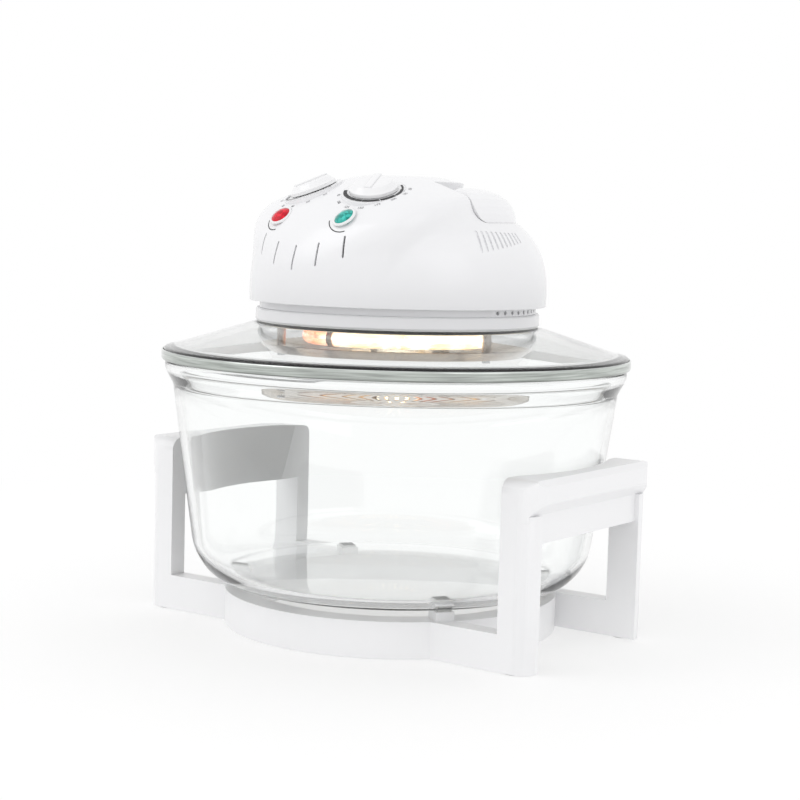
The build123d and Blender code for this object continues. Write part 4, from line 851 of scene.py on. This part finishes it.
# Each stretch: first and last angle, middle radius, half its width.
heating_arc = ((-178, -166, 19.3, 1.2), (-165, -154, 19.2, 1.35), (-153, -142, 19.1, 1.5),
               (-141, -130, 19.0, 1.6), (-129, -114, 18.95, 1.65), (-113, -98, 18.95, 1.65),
               (-97, -62, 19.0, 1.6), (-60, -25, 19.1, 1.5), (-23, 10, 19.3, 1.1), (11, 34, 19.5, 0.7))
work = bmesh.new()
for first, last, middle, half_width in heating_arc:
    arc_strip(work, thermostat_plane, middle, half_width, first, last, dial_face)
printed_piece(work, "thermostat_scale", black_ink)
timer_start, timer_end, tick_pitch = -190, 20, 17.5
work = bmesh.new()
arc_strip(work, timer_plane, 20.0, 0.5, timer_start, timer_end, dial_face)
for step in range(13):
    angle = timer_start + tick_pitch * step
    arc_strip(work, timer_plane, 19.0, 1.0, angle - 1.2, angle + 1.2, dial_face + 0.01)
printed_piece(work, "timer_scale", black_ink)
degrees = ("65", "100", "125", "150", "175", "200", "225", "250")
minutes = ("0", "10", "20", "30", "40", "50", "60")
for name, plane, texts, first, pitch in (("thermostat_numbers", thermostat_plane, degrees, -176.0, 27.0),
                                         ("timer_numbers", timer_plane, minutes, -182.0, 30.0)):
    work = bmesh.new()
    for index, text in enumerate(texts):
        figure(work, plane, text, 24.6, first + pitch * index, 3.0)
    laid_on_cover(work, plane)
    printed_piece(work, name, grey_ink)


# ---- Knobs ----
# Glossy white mouldings with a low finger bar across them. Each is pushed on a steel spindle that comes
# up through its dial.
knob_white = plastic("knob white", (0.86, 0.86, 0.87), 0.18, 0.0006, flow=0.2, peel_size=500.0, coat=0.3)
dress(knob_white, "timer_knob", "thermostat_knob")


# ---- Lamps ----
# Clear coloured lenses pressed from inside with a pattern of small facets, in white rims, over small
# neon lamps in grey holders. A dark arc is printed under each.
faceted, into, out = effect_group(
    "Faceted lens",
    [("Bright", COLOUR, (0.8, 0.1, 0.1, 1)), ("Deep", COLOUR, (0.4, 0.0, 0.0, 1)),
     ("Facet size", VALUE, 700.0)],
    [("Colour", COLOUR), ("Height", VALUE)])
cells = faceted.nodes.new("ShaderNodeTexVoronoi")
cells.feature = "F1"
faceted.links.new(place_on_piece(faceted), cells.inputs["Vector"])
faceted.links.new(into.outputs["Facet size"], cells.inputs["Scale"])
split = faceted.nodes.new("ShaderNodeSeparateColor")
faceted.links.new(cells.outputs["Color"], split.inputs[0])
faceted.links.new(blended(faceted, split.outputs[0], into.outputs["Deep"], into.outputs["Bright"]),
                  out.inputs["Colour"])
faceted.links.new(cells.outputs["Distance"], out.inputs["Height"])
for lens_node, bright, deep in (("power_lens", (0.80, 0.006, 0.03), (0.40, 0.001, 0.012)),
                                ("heat_lens", (0.05, 0.52, 0.45), (0.003, 0.20, 0.17))):
    lens, tree, surface = blank(lens_node.replace("_", " "))
    pattern = effect(tree, faceted, Bright=(*bright, 1), Deep=(*deep, 1), Facet_size=420.0)
    tree.links.new(pattern.outputs["Colour"], surface.inputs["Base Color"])
    tree.links.new(pattern.outputs["Colour"], surface.inputs["Emission Color"])
    surface.inputs["Emission Strength"].default_value = 0.12
    surface.inputs["Roughness"].default_value = 0.3
    surface.inputs["Specular IOR Level"].default_value = 0.25
    surface.inputs["Coat Weight"].default_value = 0.1
    relief(tree, surface, pattern.outputs["Height"], 0.5, 0.0002)
    dress(lens, lens_node)
dress(knob_white, "lamp_bezels")
grey_moulding = plastic("grey moulding", (0.42, 0.42, 0.43), 0.45, 0.0004)
dress(grey_moulding, "lamp_holders")
work = bmesh.new()
for plane, first, last in zip([head_turn @ plane for plane in lamp_planes], (-170, -160), (-80, -60)):
    arc_strip(work, plane, 11.4, 0.34, first, last, 3.0)
    laid_on_cover(work, plane)
printed_piece(work, "lamp_arcs", black_ink)


# ---- Controls inside the cover ----
# Clockwork timer and thermostat in plated cases on the back of the panel, their spindles and screws, and
# the safety switch on its folded bracket under the bail.
case_steel = metal("plated case", (0.55, 0.56, 0.57), 0.35, (0.42, 0.42, 0.42))
dress(case_steel, "timer_unit", "thermostat_unit", "switch_bracket")
dark_moulding = plastic("dark moulding", (0.03, 0.03, 0.032), 0.4, 0.0003, shade=0.6)
dress(dark_moulding, "switch_plunger", "microswitch")


# ---- Heater chamber ----
# Polished dish clamped under the lid's glass, and a slotted pan with a flared rim that hangs from it on
# three posts. Heat has yellowed both a little.
dish_steel = turned_metal("dish steel", (0.80, 0.70, 0.50), (0.74, 0.52, 0.26), 0.8, 0.10, 0.14)
dress(dish_steel, "reflector")
pan_steel = turned_metal("pan steel", (0.46, 0.42, 0.37), (0.50, 0.34, 0.18), 0.7, 0.10, 0.14)
dress(pan_steel, "fan_guard")
hot_steel = metal("heated steel", (0.38, 0.34, 0.30), 0.28, (0.44, 0.30, 0.16), staining=0.6)
dress(hot_steel, "guard_posts", "chamber_spacers", "lamp_clips", "thermal_fuse")
pressed_aluminium = metal("pressed aluminium", (0.72, 0.72, 0.73), 0.32, (0.6, 0.6, 0.6))
dress(pressed_aluminium, "heat_shield", "convection_fan", "cooling_fan")


# ---- Halogen lamp ----
# Round quartz tube with a bright coil along it, held by ceramic blocks and spring clips. Near its cooler
# side the light is orange, elsewhere it is almost white with amber stretches.
glowing, into, out = effect_group(
    "Lamp glow",
    [("White heat", COLOUR, (1.0, 0.93, 0.78, 1)), ("Amber heat", COLOUR, (1.0, 0.72, 0.38, 1)),
     ("Orange heat", COLOUR, (1.0, 0.30, 0.08, 1))],
    [("Colour", COLOUR)])
place = place_on_piece(glowing)
parts = glowing.nodes.new("ShaderNodeSeparateXYZ")
glowing.links.new(place, parts.inputs[0])
leftward = reckon(glowing, "ADD", reckon(glowing, "MULTIPLY", parts.outputs["X"], -0.80),
                  reckon(glowing, "MULTIPLY", parts.outputs["Y"], -0.60))
flicker = noise(glowing, place, 60.0, 2.0)
cooler = reckon(glowing, "MULTIPLY", remapped(glowing, leftward, 0.034, 0.056, 0.0, 1.0),
                remapped(glowing, flicker, 0.3, 0.6, 0.75, 1.0))
patches = remapped(glowing, noise(glowing, place, 34.0, 1.0), 0.46, 0.62, 0.0, 1.0)
warm = blended(glowing, patches, into.outputs["White heat"], into.outputs["Amber heat"])
glowing.links.new(blended(glowing, cooler, warm, into.outputs["Orange heat"]), out.inputs["Colour"])
quartz, tree, surface = blank("quartz envelope")
heat = effect(tree, glowing, White_heat=(1.0, 0.92, 0.74, 1), Amber_heat=(0.80, 0.55, 0.27, 1),
              Orange_heat=(0.75, 0.16, 0.03, 1))
tree.links.new(heat.outputs["Colour"], surface.inputs["Emission Color"])
surface.inputs["Emission Strength"].default_value = 0.5
surface.inputs["Base Color"].default_value = (0.99, 0.98, 0.96, 1)
surface.inputs["Transmission Weight"].default_value = 1.0
surface.inputs["IOR"].default_value = 1.46
cloudy = noise(tree, place_on_piece(tree), 220.0, 2.0)
tree.links.new(remapped(tree, cloudy, 0.3, 0.7, 0.03, 0.10), surface.inputs["Roughness"])
dress(quartz, "halogen_tube")
coil, tree, surface = blank("glowing coil")
heat = effect(tree, glowing, White_heat=(1.0, 0.90, 0.70, 1), Amber_heat=(0.8, 0.55, 0.3, 1),
              Orange_heat=(0.20, 0.035, 0.01, 1))
tree.links.new(heat.outputs["Colour"], surface.inputs["Emission Color"])
tree.links.new(heat.outputs["Colour"], surface.inputs["Base Color"])
surface.inputs["Emission Strength"].default_value = 4.0
relief(tree, surface, noise(tree, place_on_piece(tree), 1500.0, 1.0), 0.6, 0.0002)
dress(coil, "filament")
white_ceramic = rubbery("white ceramic", (0.8, 0.78, 0.72), 0.7)
dress(white_ceramic, "lamp_sockets")


# ---- Motor ----
# Shaded-pole motor on two steel bridges over the cooling fan: stacked iron, a wound coil, a rotor on a
# steel shaft in bronze bushes.
dress(case_steel, "motor_bracket_lower", "motor_bracket_upper", "motor_spacers")
bush_bronze = metal("bush bronze", (0.6, 0.42, 0.2), 0.35, (0.45, 0.3, 0.15))
dress(bush_bronze, "shaft_bushes")
coil_copper = metal("varnished winding", (0.7, 0.3, 0.12), 0.3, (0.5, 0.2, 0.1))
dress(coil_copper, "stator_coil")
stacked_iron = metal("stacked iron", (0.25, 0.25, 0.26), 0.45, (0.2, 0.18, 0.16))
dress(stacked_iron, "stator_core", "rotor_core")


# ---- Floor of the head, terminals and cord bush ----
# White floor moulding that closes the head from below, a grey terminal block on it, and a soft white
# bush in the cover where the cord would enter.
dress(head_white, "base_plate")
dress(grey_moulding, "terminal_block")
dress(rubbery("cord bush rubber", (0.75, 0.75, 0.76), 0.5), "cord_inlet")


# ---- Studio ----
# A pale floor that glows a little, as a light table does, and runs out into white before its edge shows.
# The surround is white, and two large soft lamps stand at the left and the right.
def looked_at(tree):
    """One where the camera sees a surface directly, in a reflection or through glass, elsewhere nothing."""
    rays = tree.nodes.new("ShaderNodeLightPath")
    mirrored = reckon(tree, "MAXIMUM", rays.outputs["Is Camera Ray"], rays.outputs["Is Glossy Ray"])
    return reckon(tree, "MAXIMUM", mirrored, rays.outputs["Is Transmission Ray"])


floor_mesh = bpy.data.meshes.new("studio floor")
work = bmesh.new()
bmesh.ops.create_grid(work, x_segments=8, y_segments=8, size=12.0)
work.to_mesh(floor_mesh)
work.free()
floor_paint, tree, surface = blank("studio floor paint")
place = place_on_piece(tree)
tone = noise(tree, place, 3.0, 2.0)
tree.links.new(blended(tree, tone, (0.475, 0.475, 0.475, 1), (0.485, 0.485, 0.485, 1)),
               surface.inputs["Base Color"])
surface.inputs["Emission Color"].default_value = (1.0, 1.0, 1.0, 1.0)
surface.inputs["Emission Strength"].default_value = 0.51
surface.inputs["Roughness"].default_value = 0.9
surface.inputs["Specular IOR Level"].default_value = 0.0
away = tree.nodes.new("ShaderNodeVectorMath")
away.operation = "LENGTH"
tree.links.new(place, away.inputs[0])
fade_start, fade_end = 0.30, 0.75
far = remapped(tree, away.outputs["Value"], fade_start, fade_end, 0.0, 1.0)
white = tree.nodes.new("ShaderNodeEmission")
white.inputs["Color"].default_value = (1.0, 1.0, 1.0, 1.0)
fading = tree.nodes.new("ShaderNodeMixShader")
tree.links.new(reckon(tree, "MULTIPLY", far, looked_at(tree)), fading.inputs[0])
tree.links.new(surface.outputs[0], fading.inputs[1])
tree.links.new(white.outputs[0], fading.inputs[2])
tree.links.new(fading.outputs[0], tree.nodes["Material Output"].inputs["Surface"])
floor_mesh.materials.append(floor_paint)
set_down("studio floor", floor_mesh)

world = bpy.data.worlds.new("studio")
bpy.context.scene.world = world
world.use_nodes = True
tree = world.node_tree
background = tree.nodes["Background"]
background.inputs["Color"].default_value = (1.0, 1.0, 1.0, 1.0)
tree.links.new(remapped(tree, looked_at(tree), 0.0, 1.0, 0.98, 1.0), background.inputs["Strength"])


def softbox(name, position, size, power):
    """A rectangular lamp turned towards the middle of the object."""
    lamp = bpy.data.lights.new(name, "AREA")
    lamp.shape = "RECTANGLE"
    lamp.size, lamp.size_y = size
    lamp.energy = power
    piece = set_down(name, lamp)
    piece.location = position
    aim = Vector((0.0, 0.0, 0.18)) - Vector(position)
    piece.rotation_mode = "QUATERNION"
    piece.rotation_quaternion = aim.to_track_quat("-Z", "Y")


softbox("key softbox", (-1.6, -1.9, 2.2), (1.8, 1.8), 12.0)
softbox("fill softbox", (2.4, -0.6, 1.4), (1.4, 1.8), 4.0)


# ---- Camera ----
# Level with the middle of the head, 36 degrees round from the stand's front towards its right, looking
# slightly down and held very slightly askew. The focal length is counted in pixels of the frame.
frame_width, focal_length = 800, 1829
lens = bpy.data.cameras.new("view")
lens.sensor_width = 36.0
lens.lens = lens.sensor_width * focal_length / frame_width
camera_height, camera_distance = 0.288, 1.2958
bearing, downward, roll = math.radians(35.73), math.radians(5.64), math.radians(1.54)
view = set_down("view", lens)
view.location = (0.7566, -1.0519, camera_height)
view.rotation_mode = "QUATERNION"
beside = Vector((math.cos(bearing), math.sin(bearing), 0.0)) * 0.0034
target = beside + Vector((0.0, 0.0, camera_height - camera_distance * math.tan(downward)))
gaze = (target - view.location).to_track_quat("-Z", "Y")
view.rotation_quaternion = gaze @ Matrix.Rotation(roll, 3, "Z").to_quaternion()
scene = bpy.context.scene
scene.camera = view
scene.view_settings.view_transform = "Standard"
